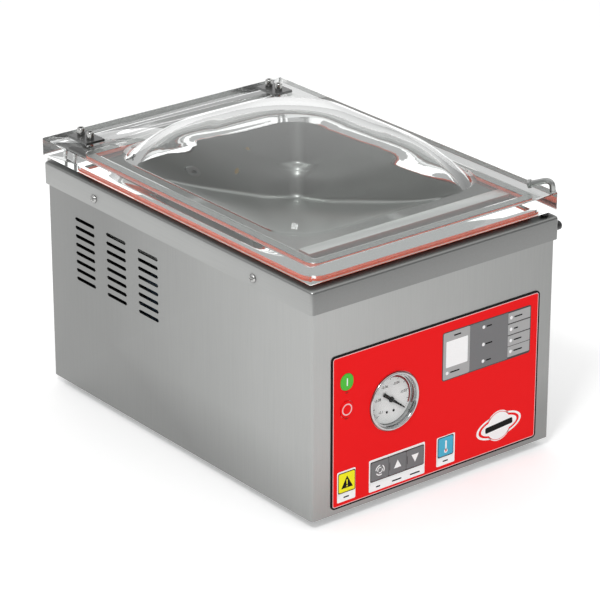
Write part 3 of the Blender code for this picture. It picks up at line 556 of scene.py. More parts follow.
def woven_tape():
    """Brown coated glass cloth."""
    made, tree, shader = material("woven_tape")
    place = node(tree, "ShaderNodeTexCoord").outputs["Object"]
    waves = []
    for axis in ("X", "Y"):
        wave = node(
            tree,
            "ShaderNodeTexWave",
            {"Vector": place, "Scale": 420.0, "Distortion": 0.4},
            bands_direction=axis,
        )
        waves.append(wave.outputs["Fac"])
    weave = node(tree, "ShaderNodeMath", {0: waves[0], 1: waves[1]}, operation="MULTIPLY")
    cloth = ramp(tree, weave.outputs[0], ((0.0, (0.24, 0.15, 0.08)), (1.0, (0.46, 0.33, 0.20))))
    tree.links.new(cloth, shader.inputs["Base Color"])
    set_values(shader, Roughness=0.55)
    bump(tree, shader, weave.outputs[0], 0.00008, 0.5)
    return made


SMOOTHING = shading_group()
# Painted reflection grades the shell's colour away from its near upright edge
SHELL_STEEL = brushed_steel("shell_steel", (0.435, 0.440, 0.432), ALONG_Z, painted_reflection_fade=True)
# Painted shade darkens the deck's colour under the lid and on its skirt's front
DECK_STEEL = brushed_steel("deck_steel", (0.40, 0.405, 0.398), ALONG_Y, painted_shade=True)
TUB_STEEL = brushed_steel("tub_steel", (0.40, 0.41, 0.40), ALONG_Y, 0.38)
BRACKET_STEEL = brushed_steel("bracket_steel", (0.42, 0.43, 0.43), ALONG_Z, 0.36)
PLATED = plain_metal("zinc_plated_floor", (0.42, 0.43, 0.43), 0.42)
CLAMP_STEEL = plain_metal("clamp_steel", (0.17, 0.17, 0.17), 0.34, 1.0, 900.0)
BRIGHT = plain_metal("bright_plated", (0.50, 0.50, 0.49), 0.20)
BEZEL = plain_metal("polished_bezel", (0.52, 0.53, 0.53), 0.14)
HANDLE_STEEL = brushed_steel("handle_steel", (0.44, 0.45, 0.44), EVEN, 0.30)
ALUMINIUM = brushed_steel("milled_aluminium", (0.66, 0.67, 0.66), ALONG_X, 0.36)
CYLINDER = plain_metal("cylinder_aluminium", (0.42, 0.42, 0.42), 0.4)
CASTING = plain_metal("pump_enamel", (0.08, 0.13, 0.20), 0.45, 0.0, 260.0, 0.0002)
MOTOR = plain_metal("motor_enamel", (0.05, 0.05, 0.06), 0.5, 0.0, 300.0, 0.0001)
LAMINATIONS = plain_metal("laminations", (0.12, 0.10, 0.08), 0.55, 0.4, 300.0, 0.0001)
BRASS = plain_metal("turned_brass", (0.62, 0.45, 0.20), 0.28)
RUBBER = plastic("black_rubber", (0.018, 0.018, 0.018), 0.75, 0.3, 700.0, 0.00003)
BLACK = plastic("black_plastic", (0.020, 0.020, 0.021), 0.38)
BOARD = plastic("board_green", (0.01, 0.12, 0.05), 0.45)
RED_SILICONE = silicone("red_silicone", (0.90, 0.130, 0.055))
GREY_BACKING = brushed_steel("gasket_backing", (0.30, 0.31, 0.30), ALONG_Y, 0.4)
TAPE = woven_tape()
ACRYLIC = clear_acrylic()
GLASS = window_glass()
RED_FILM = plastic("red_film", (0.90, 0.007, 0.009), 0.5, FILM_GLOSS)
CAPTION_RED = plastic("caption_red", (0.45, 0.02, 0.015), 0.5, FILM_GLOSS)
WHITE_FILM = plastic("white_film", (0.98, 0.98, 0.98), 0.5, FILM_GLOSS)
PINK_LINE = plastic("pale_line", (0.88, 0.55, 0.55), 0.5, FILM_GLOSS)
BLACK_FILM = plastic("black_film", (0.008, 0.008, 0.008), 0.5, FILM_GLOSS)
PALE_GREY_FILM = plastic("pale_grey_film", (0.43, 0.43, 0.43), 0.5, FILM_GLOSS)
DARK_GREY_FILM = plastic("dark_grey_film", (0.20, 0.20, 0.205), 0.5, FILM_GLOSS)
EDGE_GREY_FILM = plastic("edge_grey_film", (0.075, 0.07, 0.07), 0.5, FILM_GLOSS)
GREEN_FILM = plastic("green_film", (0.09, 0.53, 0.055), 0.45, FILM_GLOSS)
BLUE_FILM = plastic("blue_film", (0.09, 0.47, 0.67), 0.45, FILM_GLOSS)
YELLOW_FILM = plastic("yellow_film", (0.96, 0.90, 0.02), 0.45, FILM_GLOSS)
LED_WHITE = plastic("led_lens", (0.94, 0.94, 0.95), 0.2, 0.3)
DIAL_WHITE = plastic("dial_white", (0.90, 0.91, 0.90), 0.5, FILM_GLOSS)
DIAL_RED = plastic("dial_red", (0.30, 0.015, 0.02), 0.5, FILM_GLOSS)
DIAL_BLACK = plastic("dial_black", (0.012, 0.012, 0.012), 0.5, FILM_GLOSS)


# Lid


def dome_rings(half, corner, base, height, shoulder_shape):
    """Rings of the blown dome from its foot to near its crown."""
    reach, power = shoulder_shape
    rings = []
    deepest = 0.985 * half[0]
    for step in range(DOME_RINGS + 1):
        inset = deepest * (step / DOME_RINGS) ** 1.7
        shoulder = 1 - math.exp(-((inset / reach) ** power))
        crown = 1 - (1 - inset / half[0]) ** 2
        lift = (height - DOME_CROWN) * shoulder + DOME_CROWN * crown
        shrunk = (half[0] - inset, half[1] * (1 - inset / half[0]))
        radius = min(corner + DOME_ROUNDING * inset, 0.96 * shrunk[0])
        rings.append(ring(shrunk, radius, base + lift, DOME_CENTRE))
    return rings


def outline_of(low, high):
    """Half size and centre of a level outline that is centred on X = 0."""
    return half_sides(low, high)[:2], (0, (high.y + low.y) / 2)


def make_lid():
    """The clear plate with the gasket's groove, the dome and its hollow, and four bolt holes."""
    half, centre = outline_of(PLATE_LOW, PLATE_HIGH)
    gasket_half, gasket_centre = outline_of(GASKET_LOW, GASKET_HIGH)
    room = 0.0004
    groove_top = GASKET_HIGH.z + GAP
    outer = (gasket_half[0] + room, gasket_half[1] + room)
    inner = tuple(side - GASKET_WIDTH - room for side in gasket_half)
    inner_corner, outer_corner = 0.004, 0.0124
    tight, middling, full = 0.002, 0.0027, 0.003
    edge = 0.0009
    trimmed = (half[0] - edge, half[1] - edge)
    nearly = (half[0] - 0.3 * edge, half[1] - 0.3 * edge)
    mouth = (DOME_HALF[0] - MOUTH_INSET, DOME_HALF[1] - MOUTH_INSET)
    mouth_corner = DOME_CORNER - MOUTH_INSET
    hollow = LID_TOP - LID_BOTTOM + DOME_HEIGHT - DOME_WALL
    hold = 0.0005
    held = (trimmed[0] - hold, trimmed[1] - hold)
    mouth_rim = (mouth[0] + hold, mouth[1] + hold)
    dome_rim = (DOME_HALF[0] + hold, DOME_HALF[1] + hold)
    rings = [
        *reversed(dome_rings(mouth, mouth_corner, LID_BOTTOM, hollow, INNER_SHOULDER)),
        ring(mouth_rim, mouth_corner + hold, LID_BOTTOM, DOME_CENTRE),
        ring(inner, inner_corner, LID_BOTTOM, gasket_centre),
        ring(inner, inner_corner, groove_top, gasket_centre),
        ring(outer, outer_corner, groove_top, gasket_centre),
        ring(outer, outer_corner, LID_BOTTOM, gasket_centre),
        ring(held, tight, LID_BOTTOM, centre),
        ring(trimmed, tight, LID_BOTTOM, centre),
        ring(nearly, middling, LID_BOTTOM + 0.3 * edge, centre),
        ring(half, full, LID_BOTTOM + edge, centre),
        ring(half, full, LID_BOTTOM + edge + hold, centre),
        ring(half, full, LID_TOP - edge - hold, centre),
        ring(half, full, LID_TOP - edge, centre),
        ring(nearly, middling, LID_TOP - 0.3 * edge, centre),
        ring(trimmed, tight, LID_TOP, centre),
        ring(held, tight, LID_TOP, centre),
        ring(dome_rim, DOME_CORNER + hold, LID_TOP, DOME_CENTRE),
        *dome_rings(DOME_HALF, DOME_CORNER, LID_TOP, DOME_HEIGHT, OUTER_SHOULDER),
    ]
    plate = add_piece("clear_lid", loft(rings), ACRYLIC, "lid")
    holes = bmesh.new()
    for side in ("left", "right"):
        for end in ("front", "rear"):
            spot = middle(f"hinge_bolt_{side}_{end}")[:2]
            levels = (LID_BOTTOM - 0.002, LID_TOP + 0.002)
            loft([circle(LID_HOLE_RADIUS, z, 24, spot) for z in levels], shape=holes)
    cut(plate, cutter("lid_bolt_holes", holes))
    apply_all(plate)
    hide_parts("lid_plate")


def make_gasket():
    """The red gasket with a grey backing where it lies against the top of its groove."""
    half, centre = outline_of(GASKET_LOW, GASKET_HIGH)
    low, high = GASKET_LOW.z, GASKET_HIGH.z
    profile = (
        (0.0030, low),
        (0.0012, low + 0.0008),
        (0.0002, low + 0.0024),
        (0, low + 0.0040),
        (0, high),
        (GASKET_WIDTH, high),
        (GASKET_WIDTH, low + 0.0040),
        (GASKET_WIDTH - 0.0002, low + 0.0024),
        (GASKET_WIDTH - 0.0012, low + 0.0008),
        (GASKET_WIDTH - 0.0030, low),
    )
    rings = [
        ring((half[0] - inset, half[1] - inset), max(0.012 - inset, 0.003), z, centre)
        for inset, z in profile
    ]
    shape = loft(rings, looped=True)
    gasket = add_piece("red_gasket", shape, (RED_SILICONE, GREY_BACKING), "lid")
    for face in gasket.data.polygons:
        if face.center.z > high - 0.0001:
            face.material_index = 1
    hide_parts("lid_gasket")


def make_hinge_tops():
    """Clamp plates with milled edges, and socket-head bolts."""
    for side in ("left", "right"):
        low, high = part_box("clamp_plate_" + side)
        plate = add_piece("clamp_" + side, block(low, high), CLAMP_STEEL, "lid")
        holes = bmesh.new()
        for end in ("front", "rear"):
            name = f"hinge_bolt_{side}_{end}"
            bolt_low, bolt_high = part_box(name)
            x, y, _ = middle(name)
            levels = (low.z - 0.001, high.z + 0.001)
            loft([circle(CLAMP_HOLE_RADIUS, z, 24, (x, y)) for z in levels], shape=holes)
            make_bolt(name, x, y, bolt_low.z, bolt_high.z)
        cut(plate, cutter("clamp_holes_" + side, holes))
        bevel(apply_all(plate), 0.0004)
        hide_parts("clamp_plate_" + side)


def make_bolt(name, x, y, bottom, top):
    """A socket-head bolt: knurled head with a hexagon socket, and a plain shank."""
    head = CLAMP_HIGH.z + GAP
    steps = 48
    shank, socket = 0.0026, 0.0019
    knurls = [0.0043 - 0.00012 * (index % 2) for index in range(steps)]
    flats = []
    for angle in full_turn(steps):
        sector = (angle + math.pi / 6) % (math.pi / 3) - math.pi / 6
        flats.append(socket / math.cos(sector))

    def wavy(radii, z):
        return [(r * math.cos(a), r * math.sin(a), z) for r, a in zip(radii, full_turn(steps))]

    rings = [
        wavy(flats, top - 0.0032),
        wavy(flats, top),
        circle(0.0035, top, steps),
        circle(0.0041, top - 0.0006, steps),
        wavy(knurls, top - 0.0010),
        wavy(knurls, head + 0.0006),
        circle(0.0042, head, steps),
        circle(shank, head, steps),
        circle(shank, bottom, steps),
    ]
    place = Matrix.Translation((x, y, 0))
    bolt = add_piece(name + "_bright", loft(rings), BRIGHT, "lid", place)
    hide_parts(name)


# Housing details


def make_screws():
    """Slotted raised-head screws on the skirt."""
    for end in ("front", "rear"):
        for side, direction in (("left", -1), ("right", 1)):
            name = f"deck_screw_{end}_{side}"
            _, y, z = middle(name)
            profile = [(0, 0.0034), (0.0012, 0.0033), (0.0024, 0.0029), (0.0035, 0.0022)]
            profile += [(0.0043, 0.0012), (0.0047, GAP), (0.0020, GAP), (0.0020, -0.0055)]
            profile.append((0, -0.0055))
            place = facing(side, DECK_HIGH.x * direction, y, z)
            head = turned(profile, 32)
            screw = add_piece(name + "_bright", head, BRIGHT, "housing", place)
            slots = block((-0.0006, -0.003, 0.0020), (0.0006, 0.003, 0.005))
            block((-0.003, -0.0006, 0.0020), (0.003, 0.0006, 0.005), slots)
            cut(screw, cutter(name + "_slot", slots, place))
            apply_all(screw)
            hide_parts(name)


# Printed front


def on_front(centre):
    """A frame on the housing's front at (x, z)."""
    return facing("front", centre[0], FRONT, centre[1])


def film(name, centre, half, corner, level, made):
    """A printed patch on the front: a thin rounded slab, higher for a higher level."""
    out = FILM_FACE + FILM_STEP * level
    rings = [ring(half, corner, height, steps=6) for height in (out - FILM_DEPTH, out)]
    return add_piece(name, loft(rings), made, "housing", on_front(centre))


def dash(name, centre, length, level, made=BLACK_FILM):
    """A short plain bar in place of a caption."""
    film(name, centre, (length / 2, DASH_HEIGHT / 2), DASH_HEIGHT / 2.2, level, made)


def make_overlay():
    """The printed film: black border, pale line and red field, cut for the gauge and keys."""
    centre = middle("control_overlay")[::2]
    half = half_sides(OVERLAY_LOW, OVERLAY_HIGH)[::2]
    place = on_front(centre)
    reach = 0.004
    gauge_spot = (GAUGE_X - centre[0], GAUGE_Z - centre[1])
    openings = loft(
        [circle(BEZEL_RADIUS + BEZEL_ROOM, z, 96, gauge_spot) for z in (-reach, reach)]
    )
    for name, _, corner in KEYS:
        x, _, z = middle(name)
        spot = (x - centre[0], z - centre[1])
        window = tuple(side + KEY_ROOM for side in half_sides(*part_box(name))[::2])
        rings = [ring(window, corner + KEY_ROOM, z, spot, 8) for z in (-reach, reach)]
        loft(rings, shape=openings)
    tool = cutter("overlay_openings", openings, place)
    for name, inset, low, high, made in (
        ("overlay_border", 0, GAP, FILM_FACE, BLACK_FILM),
        ("overlay_line", 0.0020, FILM_FACE - FILM_STEP, FILM_FACE + FILM_STEP, PINK_LINE),
        ("overlay_field", 0.0028, FILM_FACE, FILM_FACE + 2 * FILM_STEP, RED_FILM),
    ):
        outline = (half[0] - inset, half[1] - inset)
        rings = [ring(outline, 0.005 - inset, z, steps=10) for z in (low, high)]
        layer = add_piece(name, loft(rings), made, "housing", place)
        apply_all(cut(layer, tool)).data.shade_flat()
        if inset == 0:
            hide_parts("control_overlay")
    return tool


KEYS = (
    ("key_on", GREEN_FILM, 0.0081),
    ("key_off", RED_FILM, 0.0081),
    ("key_stop", YELLOW_FILM, 0.0015),
    ("key_set", DARK_GREY_FILM, 0.0015),
    ("key_up", DARK_GREY_FILM, 0.0015),
    ("key_down", DARK_GREY_FILM, 0.0015),
    ("key_temperature", BLUE_FILM, 0.0015),
)


def key_patch(key, name, points, made, level=1):
    """A flat printed sign on a key, from an outline about the key's centre."""
    x, _, z = middle(key)
    place = facing("front", x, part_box(key)[0].y, z)
    sign = slab(points, -0.0002, 0.00003 * level)
    add_piece(name, sign, made, key + "_body", place)


def ring_patch(key, name, outer, inner, start, end, made):
    """A printed arc on a key."""
    key_patch(key, name, band(outer, inner, start, end, 32), made)


def make_keys():
    """Domed film keys with their signs."""
    for name, made, corner in KEYS:
        low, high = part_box(name)
        centre = on_front(middle(name)[::2])
        half = half_sides(low, high)[::2]
        back, face = -(high.y - FRONT), -(low.y - FRONT)
        rings = [ring(half, corner, back, steps=8)]
        for inset, drop in ((0, 0.00040), (0.00012, 0.00018), (0.00040, 0.00004), (0.0009, 0)):
            side = (half[0] - inset, half[1] - inset)
            rings.append(ring(side, corner - inset, face - drop, steps=8))
        key = add_piece(name + "_film", loft(rings), made, name + "_body", centre)
        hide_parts(name)
    bar = [(-0.0007, -0.0042), (0.0007, -0.0042), (0.0007, 0.0042), (-0.0007, 0.0042)]
    key_patch("key_on", "sign_on", bar, WHITE_FILM)
    ring_patch("key_off", "sign_off_right", 0.0066, 0.0052, -90, 90, PINK_LINE)
    ring_patch("key_off", "sign_off_left", 0.0066, 0.0052, 90, 270, PINK_LINE)
    upward = [(-0.0050, -0.0042), (0.0050, -0.0042), (0, 0.0048)]
    key_patch("key_up", "sign_up", upward, WHITE_FILM)
    downward = [(-0.0050, 0.0042), (0, -0.0048), (0.0050, 0.0042)]
    key_patch("key_down", "sign_down", downward, WHITE_FILM)
    for index in range(3):
        start = 90 + 120 * index
        ring_patch("key_set", f"sign_set_{index}", 0.0062, 0.0050, start, start + 85, WHITE_FILM)
    ring_patch("key_set", "sign_set_inner_a", 0.0036, 0.0025, 60, 200, WHITE_FILM)
    ring_patch("key_set", "sign_set_inner_b", 0.0036, 0.0025, 240, 380, WHITE_FILM)
    for key in ("key_up", "key_down"):
        low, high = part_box(key)
        left = (low.x - high.x) / 2 + 0.0006
        right = left + 0.0009
        divider = [(left, -0.0046), (right, -0.0046), (right, 0.0046), (left, 0.0046)]
        key_patch(key, key + "_divider", divider, EDGE_GREY_FILM)
    warning = [(-0.0078, -0.0064), (0.0078, -0.0064), (0, 0.0074)]
    key_patch("key_stop", "sign_stop", warning, BLACK_FILM)
    stripe = [(-0.0006, -0.0024), (0.0006, -0.0024), (0.0009, 0.0030), (-0.0009, 0.0030)]
    key_patch("key_stop", "sign_stop_mark", stripe, YELLOW_FILM, 2)
    key_patch("key_stop", "sign_stop_dot", arc(0.0009, 0, 345, 12, (0, -0.0042)), YELLOW_FILM, 2)
    stem = [(-0.0011, -0.0040), (0.0011, -0.0040), *arc(0.0011, 0, 180, 8, (0, 0.0060))]
    key_patch("key_temperature", "sign_heat_stem", stem, WHITE_FILM)
    bulb = arc(0.0025, 0, 345, 24, (0, -0.0050))
    key_patch("key_temperature", "sign_heat_bulb", bulb, WHITE_FILM)
    dot = arc(0.0011, 0, 345, 16, (0, -0.0050))
    key_patch("key_temperature", "sign_heat_dot", dot, RED_FILM, 2)


def make_print(openings):
    """Labels, display block, lamps and the plain badge on the red field."""
    bottom = 5
    for name, centre, half in (
        ("label_stop", (-0.1205, 0.0400), (0.0122, 0.0176)),
        ("label_set", (-0.05185, 0.0398), (0.03815, 0.0185)),
        ("label_heat", (0.0157, 0.03955), (0.0127, 0.01705)),
    ):
        apply_all(cut(film(name, centre, half, 0.0015, bottom, WHITE_FILM), openings))
    for name, centre, half in (
        ("frame_stop", (-0.1200, 0.0440), (0.0115, 0.0117)),
        ("frame_set", (-0.0515, 0.0440), (0.0367, 0.0117)),
        ("frame_heat", (0.0155, 0.0440), (0.0110, 0.0117)),
    ):
        apply_all(cut(film(name, centre, half, 0.0018, bottom + 1, BLACK_FILM), openings))
    for name, x, z, length in (
        ("caption_stop", -0.1205, 0.0270, 0.0074),
        ("caption_set", -0.0775, 0.0255, 0.0058),
        ("caption_up", -0.0520, 0.0255, 0.0130),
        ("caption_down", -0.0270, 0.0255, 0.0136),
        ("caption_heat", 0.0155, 0.0270, 0.0074),
    ):
        dash(name, (x, z), length, bottom + 1)
    dash("caption_on", (-0.1205, 0.1460), 0.0036, bottom + 1, CAPTION_RED)
    dash("caption_off", (-0.1205, 0.1167), 0.0040, bottom + 1, CAPTION_RED)
    make_display(bottom)
    make_badge(bottom)


def make_display(level):
    """The display block: three sections, a window, lamps and captions."""
    film("display_edge", (0.07075, 0.14875), (0.06235, 0.02785), 0.0030, level, EDGE_GREY_FILM)
    film("display_left", (0.02815, 0.14875), (0.01855, 0.02690), 0.0022, level + 1, PALE_GREY_FILM)
    film("display_middle", (0.0735, 0.14875), (0.0270, 0.02690), 0.0004, level + 1, DARK_GREY_FILM)
    film("display_window", (0.0286, 0.1503), (0.0150, 0.0150), 0.0008, level + 2, WHITE_FILM)
    dash("caption_window", (0.0290, 0.1705), 0.0100, level + 2)
    lamp("lamp_window", (0.0155, 0.1290), level + 2)
    dash("caption_lamp", (0.0262, 0.1290), 0.0130, level + 2)
    for index, z in enumerate((0.1684, 0.1484, 0.1290)):
        lamp(f"lamp_step_{index}", (0.0658, z), level + 2)
        dash(f"caption_step_{index}", (0.0735, z), (0.0072, 0.0098, 0.0070)[index], level + 2)
    for index, z in enumerate((0.1687, 0.1553, 0.1421, 0.1294)):
        film(f"row_{index}", (0.1163, z), (0.0157, 0.0060), 0.0006, level + 1, PALE_GREY_FILM)
        lamp(f"lamp_row_{index}", (0.1049, z), level + 2)
        width = (0.0116, 0.0058, 0.0112, 0.0124)[index]
        dash(f"caption_row_{index}", (0.1090 + width / 2, z), width, level + 2)


def lamp(name, centre, level):
    """A small domed indicator lamp."""
    out = FILM_FACE + FILM_STEP * level
    profile = [(0, out + 0.0003), (0.0010, out + 0.00024), (0.0017, out + 0.0001)]
    profile += [(0.0020, out - 0.00005), (0, out - 0.00005)]
    shape = turned(profile, 24)
    add_piece(name, shape, LED_WHITE, "housing", on_front(centre))


def make_badge(level):
    """A plain oval badge without lettering."""
    place = on_front((0.0910, 0.0460)) @ Matrix.Rotation(math.radians(4), 4, "Z")
    for name, wide, high, step, made in (
        ("badge_bulge", 0.0180, 0.0178, 0, WHITE_FILM),
        ("badge_plate", 0.0320, 0.0138, 0, WHITE_FILM),
        ("badge_ring", 0.0290, 0.0115, 1, RED_FILM),
        ("badge_disc", 0.0172, 0.0165, 2, RED_FILM),
        ("badge_field", 0.0165, 0.0159, 3, WHITE_FILM),
        ("badge_oval", 0.0255, 0.0092, 4, WHITE_FILM),
        ("badge_bar", 0.0195, 0.0034, 5, BLACK_FILM),
    ):
        out = FILM_FACE + FILM_STEP * (level + step)
        oval = [(wide * math.cos(a), high * math.sin(a)) for a in full_turn(64)]
        shape = slab(oval, out - FILM_DEPTH, out)
        if name == "badge_bar":
            levels = (out - FILM_STEP, out)
            shape = loft([ring((wide, high), 0.0016, height, steps=6) for height in levels])
        add_piece(name, shape, made, "housing", place)


# Gauge


def make_gauge():
    """Polished bezel and case, printed dial, pointer and window."""
    place = on_front((GAUGE_X, GAUGE_Z))
    out = -(CASE_LOW.y - FRONT)
    edge = BEZEL_RADIUS
    tube = edge - 0.0028
    case = [
        (0, -0.0250),
        (0.0262, -0.0250),
        (0.0262, -0.0063),
        (0.0280, -0.0063),
        (0.0280, -0.0008),
        (0.0293, -0.0008),
        (0.0293, 0.0014),
        (0.0295, 0.0021),
        (0.0300, out - 0.0003),
        (0.0305, out),
        (0.0315, out),
        (0.0322, out - 0.0003),
        (edge - 0.0002, out - 0.0009),
        (edge, out - 0.0015),
        (edge, 0.0008),
        (edge - 0.0003, GAP),
        (tube, GAP),
        (tube, -0.0270),
        (0.0060, -0.0270),
        (0.0060, -0.0400),
        (0, -0.0400),
    ]
    bezel = add_piece("gauge_bezel", turned(case, 96), BEZEL, "housing", place)
    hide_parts("gauge_case")
    dial = [(0, DIAL_FACE), (0.0276, DIAL_FACE), (0.0276, DIAL_FACE - 0.001)]
    dial.append((0, DIAL_FACE - 0.001))
    face = add_piece("gauge_face", turned(dial, 96), DIAL_WHITE, "housing", place)
    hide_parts("gauge_dial")
    lens = [(0, 0.0010), (0.0289, 0.0010), (0.0289, -0.0004), (0, -0.0004)]
    window = add_piece("gauge_window", turned(lens, 96), GLASS, "housing", place)
    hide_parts("gauge_lens")
    make_dial_print(place)
    make_needle(place)


def dial_patch(name, points, made, place):
    """A printed shape on the dial."""
    shape = slab(points, DIAL_FACE - 0.00005, DIAL_FACE + 0.00006)
    add_piece(name, shape, made, "housing", place)


def make_dial_print(place):
    """Scale arc, strokes and numbers. The pointer rests at the first stroke."""
    divisions = 10
    sweep = NEEDLE_FULL - NEEDLE_REST
    dial_patch("dial_band", band(0.0265, 0.0245, -22, 96, 40), DIAL_RED, place)
    dial_patch("dial_arc", band(0.0254, 0.0251, 92, 222, 40), DIAL_BLACK, place)
    strokes = bmesh.new()
    for index in range(divisions * 5 + 1):
        angle = math.radians(NEEDLE_REST + sweep * index / (divisions * 5))
        long_stroke = index % 5 == 0
        inner, width = (0.0222, 0.00028) if long_stroke else (0.0238, 0.00013)
        along = Vector((math.cos(angle), math.sin(angle)))
        aside = Vector((-along.y, along.x)) * width
        points = [along * inner - aside, along * 0.0252 - aside]
        points += [along * 0.0252 + aside, along * inner + aside]
        slab(points, DIAL_FACE - 0.00005, DIAL_FACE + 0.00008, strokes)
    add_piece("dial_strokes", strokes, DIAL_BLACK, "housing", place)
    reach = 0.0178
    for index, words in enumerate(("0", "-0.02", "-0.04", "-0.06", "-0.08", "-0.1")):
        angle = math.radians(NEEDLE_REST + sweep * index / 5)
        number = bpy.data.curves.new(f"dial_number_{index}", "FONT")
        number.body = words
        number.size = 0.0043
        number.align_x = "CENTER"
        number.align_y = "CENTER"
        number.extrude = 0.00005
        number.materials.append(DIAL_BLACK)
        item = bpy.data.objects.new(f"dial_number_{index}", number)
        bpy.context.scene.collection.objects.link(item)
        spot = (reach * math.cos(angle), reach * math.sin(angle), DIAL_FACE + 0.00005)
        item.matrix_world = place @ Matrix.Translation(spot)
        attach(item, "housing")
    for index, (x, y) in enumerate(((-0.0052, -0.0137), (0.0039, -0.0140))):
        profile = [(0, 0.0006), (0.0011, 0.0006), (0.0014, 0.0003), (0.0014, -0.00005)]
        profile.append((0, -0.00005))
        screw = turned([(radius, DIAL_FACE + z) for radius, z in profile], 20)
        spot = place @ Matrix.Translation((x, y, 0))
        add_piece(f"dial_screw_{index}", screw, DIAL_BLACK, "housing", spot)


def make_needle(place):
    """The black pointer with its boss and broad tail."""
    turn = place @ Matrix.Rotation(math.radians(NEEDLE_REST), 4, "Z")
    low, high = DIAL_FACE + 0.0010, DIAL_FACE + 0.0017
    outline = [(-0.0130, -0.0021), (-0.0035, -0.0017), (0.0040, -0.0014), (0.0228, -0.00055)]
    points = outline + [(x, -y) for x, y in reversed(outline)]
    shape = slab(points, low, high)
    boss = [(0, 0.0028), (0.0022, 0.0027), (0.0029, 0.0022), (0.0031, 0.0007), (0, 0.0007)]
    turned([(radius, DIAL_FACE + z) for radius, z in boss], 32, shape)
    needle = add_piece("gauge_pointer", shape, DIAL_BLACK, "needle", turn)
    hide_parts("gauge_needle")


# CAD nodes that keep their shape


def paint_nodes():
    """Materials of the pieces whose CAD shape is kept."""
    paint(SHELL_STEEL, "housing_shell", "rear_panel")
    paint(PLATED, "base_plate")
    paint(DECK_STEEL, "top_deck")
    paint(TUB_STEEL, "chamber_tub")
    paint(BRASS, "vent_valve")
    paint(CYLINDER, "suction_port")
    paint(RUBBER, "foot_front_left", "foot_front_right", "foot_rear_left", "foot_rear_right")
    paint(RUBBER, "vacuum_hose")
    paint(BLACK, "switch_knob", "lid_switch", "switch_plunger", "mains_inlet", "motor_fan")
    paint(BOARD, "control_board")
    paint(BRACKET_STEEL, "hinge_bracket_left", "hinge_bracket_right")
    paint(CLAMP_STEEL, "hinge_leaf_left", "hinge_leaf_right")
    paint(BRIGHT, "hinge_pin_left", "hinge_pin_right", "lid_spring_left", "lid_spring_right")
    paint(HANDLE_STEEL, "lid_handle")
    paint(ALUMINIUM, "counter_bar", "seal_bar")
    paint(RED_SILICONE, "counter_strip")
    paint(TAPE, "seal_tape")
    paint(CYLINDER, "seal_cylinder_left", "seal_cylinder_right")
    paint(CASTING, "vacuum_pump")
    paint(MOTOR, "pump_motor")
    paint(LAMINATIONS, "transformer")


# Studio


def make_floor():
    """A wide pale floor, a little greyer where it is seen through the lid."""
    made, tree, shader = material("studio_floor")
    through = node(tree, "ShaderNodeLightPath").outputs["Is Transmission Ray"]
    tone = ramp(tree, through, ((0.0, 0.93), (1.0, 0.62)))
    glow = node(tree, "ShaderNodeMapRange", {"Value": through, "To Min": 0.25, "To Max": 0.0})
    tree.links.new(tone, shader.inputs["Base Color"])
    tree.links.new(glow.outputs["Result"], shader.inputs["Emission Strength"])
    set_values(shader, Emission_Color=(1.0, 1.0, 1.0), Roughness=0.9)
    shape = bmesh.new()
    bmesh.ops.create_grid(shape, x_segments=1, y_segments=1, size=12.0)
    floor = add_piece("studio_floor", shape, made, None)


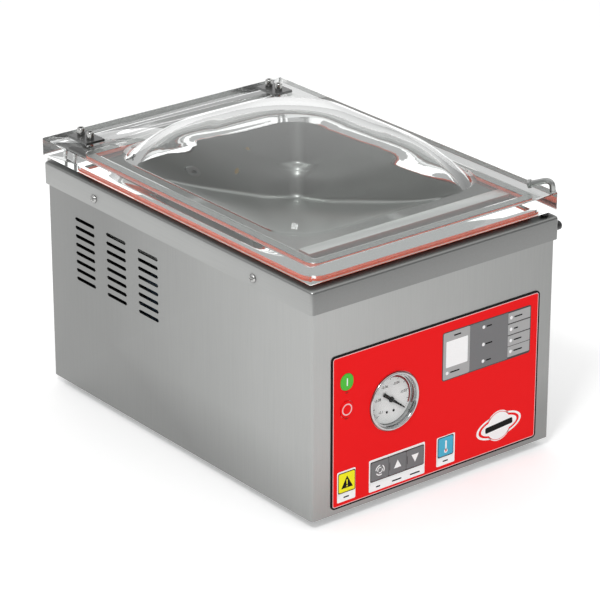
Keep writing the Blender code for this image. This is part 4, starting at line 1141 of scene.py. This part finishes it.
def make_world():
    """White behind the camera's view, and a studio of soft greys for what the metal reflects."""
    world = bpy.data.worlds.new("studio")
    bpy.context.scene.world = world
    world.use_nodes = True
    tree = world.node_tree
    background = tree.nodes["Background"]
    direction = node(tree, "ShaderNodeTexCoord").outputs["Generated"]
    axes = node(tree, "ShaderNodeSeparateXYZ", {"Vector": direction})
    height = node(
        tree, "ShaderNodeMapRange", {"Value": axes.outputs["Z"], "From Min": -1.0, "From Max": 1.0}
    )
    rearward = node(
        tree, "ShaderNodeMapRange", {"Value": axes.outputs["Y"], "From Min": -0.2, "From Max": 0.6}
    )
    level = height.outputs["Result"]
    front = ramp(tree, level, ((0.50, 0.16), (0.60, 0.22), (0.72, 0.42), (0.84, 0.9), (1.0, 0.9)))
    rear = ramp(tree, level, ((0.50, 0.42), (0.60, 0.48), (0.72, 0.55), (0.84, 0.9), (1.0, 0.9)))
    sky = node(
        tree,
        "ShaderNodeMix",
        {"Factor": rearward.outputs["Result"], "A": front, "B": rear},
        data_type="RGBA",
    )
    seen = node(tree, "ShaderNodeLightPath").outputs["Is Camera Ray"]
    mixed = node(
        tree,
        "ShaderNodeMix",
        {"Factor": seen, "A": sky.outputs["Result"], "B": (1, 1, 1, 1)},
        data_type="RGBA",
    )
    tree.links.new(mixed.outputs["Result"], background.inputs["Color"])
    background.inputs["Strength"].default_value = 1.0


def area_light(name, spot, target, size, power):
    """A rectangular softbox that faces its target."""
    lamp_data = bpy.data.lights.new(name, "AREA")
    lamp_data.shape = "RECTANGLE"
    lamp_data.size, lamp_data.size_y = size
    lamp_data.energy = power
    item = bpy.data.objects.new(name, lamp_data)
    bpy.context.scene.collection.objects.link(item)
    item.location = spot
    item.rotation_euler = (Vector(spot) - Vector(target)).to_track_quat("Z", "Y").to_euler()


def make_camera():
    """A long lens from the front left, a little above the lid."""
    back = Vector(
        (
            math.sin(VIEW_AZIMUTH) * math.cos(VIEW_ELEVATION),
            -math.cos(VIEW_AZIMUTH) * math.cos(VIEW_ELEVATION),
            math.sin(VIEW_ELEVATION),
        )
    )
    camera = bpy.data.cameras.new("camera")
    camera.lens = LENS
    camera.sensor_width = 36.0
    camera.clip_end = 40.0
    item = bpy.data.objects.new("camera", camera)
    bpy.context.scene.collection.objects.link(item)
    item.location = VIEW_TARGET + back * VIEW_DISTANCE
    item.rotation_euler = back.to_track_quat("Z", "Y").to_euler()
    bpy.context.scene.camera = item


def set_colour_management():
    """Plain display colours, without a film look."""
    scene = bpy.context.scene
    scene.view_settings.view_transform = "Standard"
    scene.view_settings.look = "None"


make_camera()
make_world()
make_floor()
area_light("key_softbox", (-1.6, -1.2, 2.4), (0, 0, 0.2), (0.5, 0.5), 26)
area_light("rear_card", (0.45, 0.75, 0.42), (0, 0, 0.35), (1.6, 0.22), 1.2)
set_colour_management()
paint_nodes()
make_lid()
make_gasket()
make_hinge_tops()
make_screws()
key_openings = make_overlay()
make_keys()
make_print(key_openings)
make_gauge()
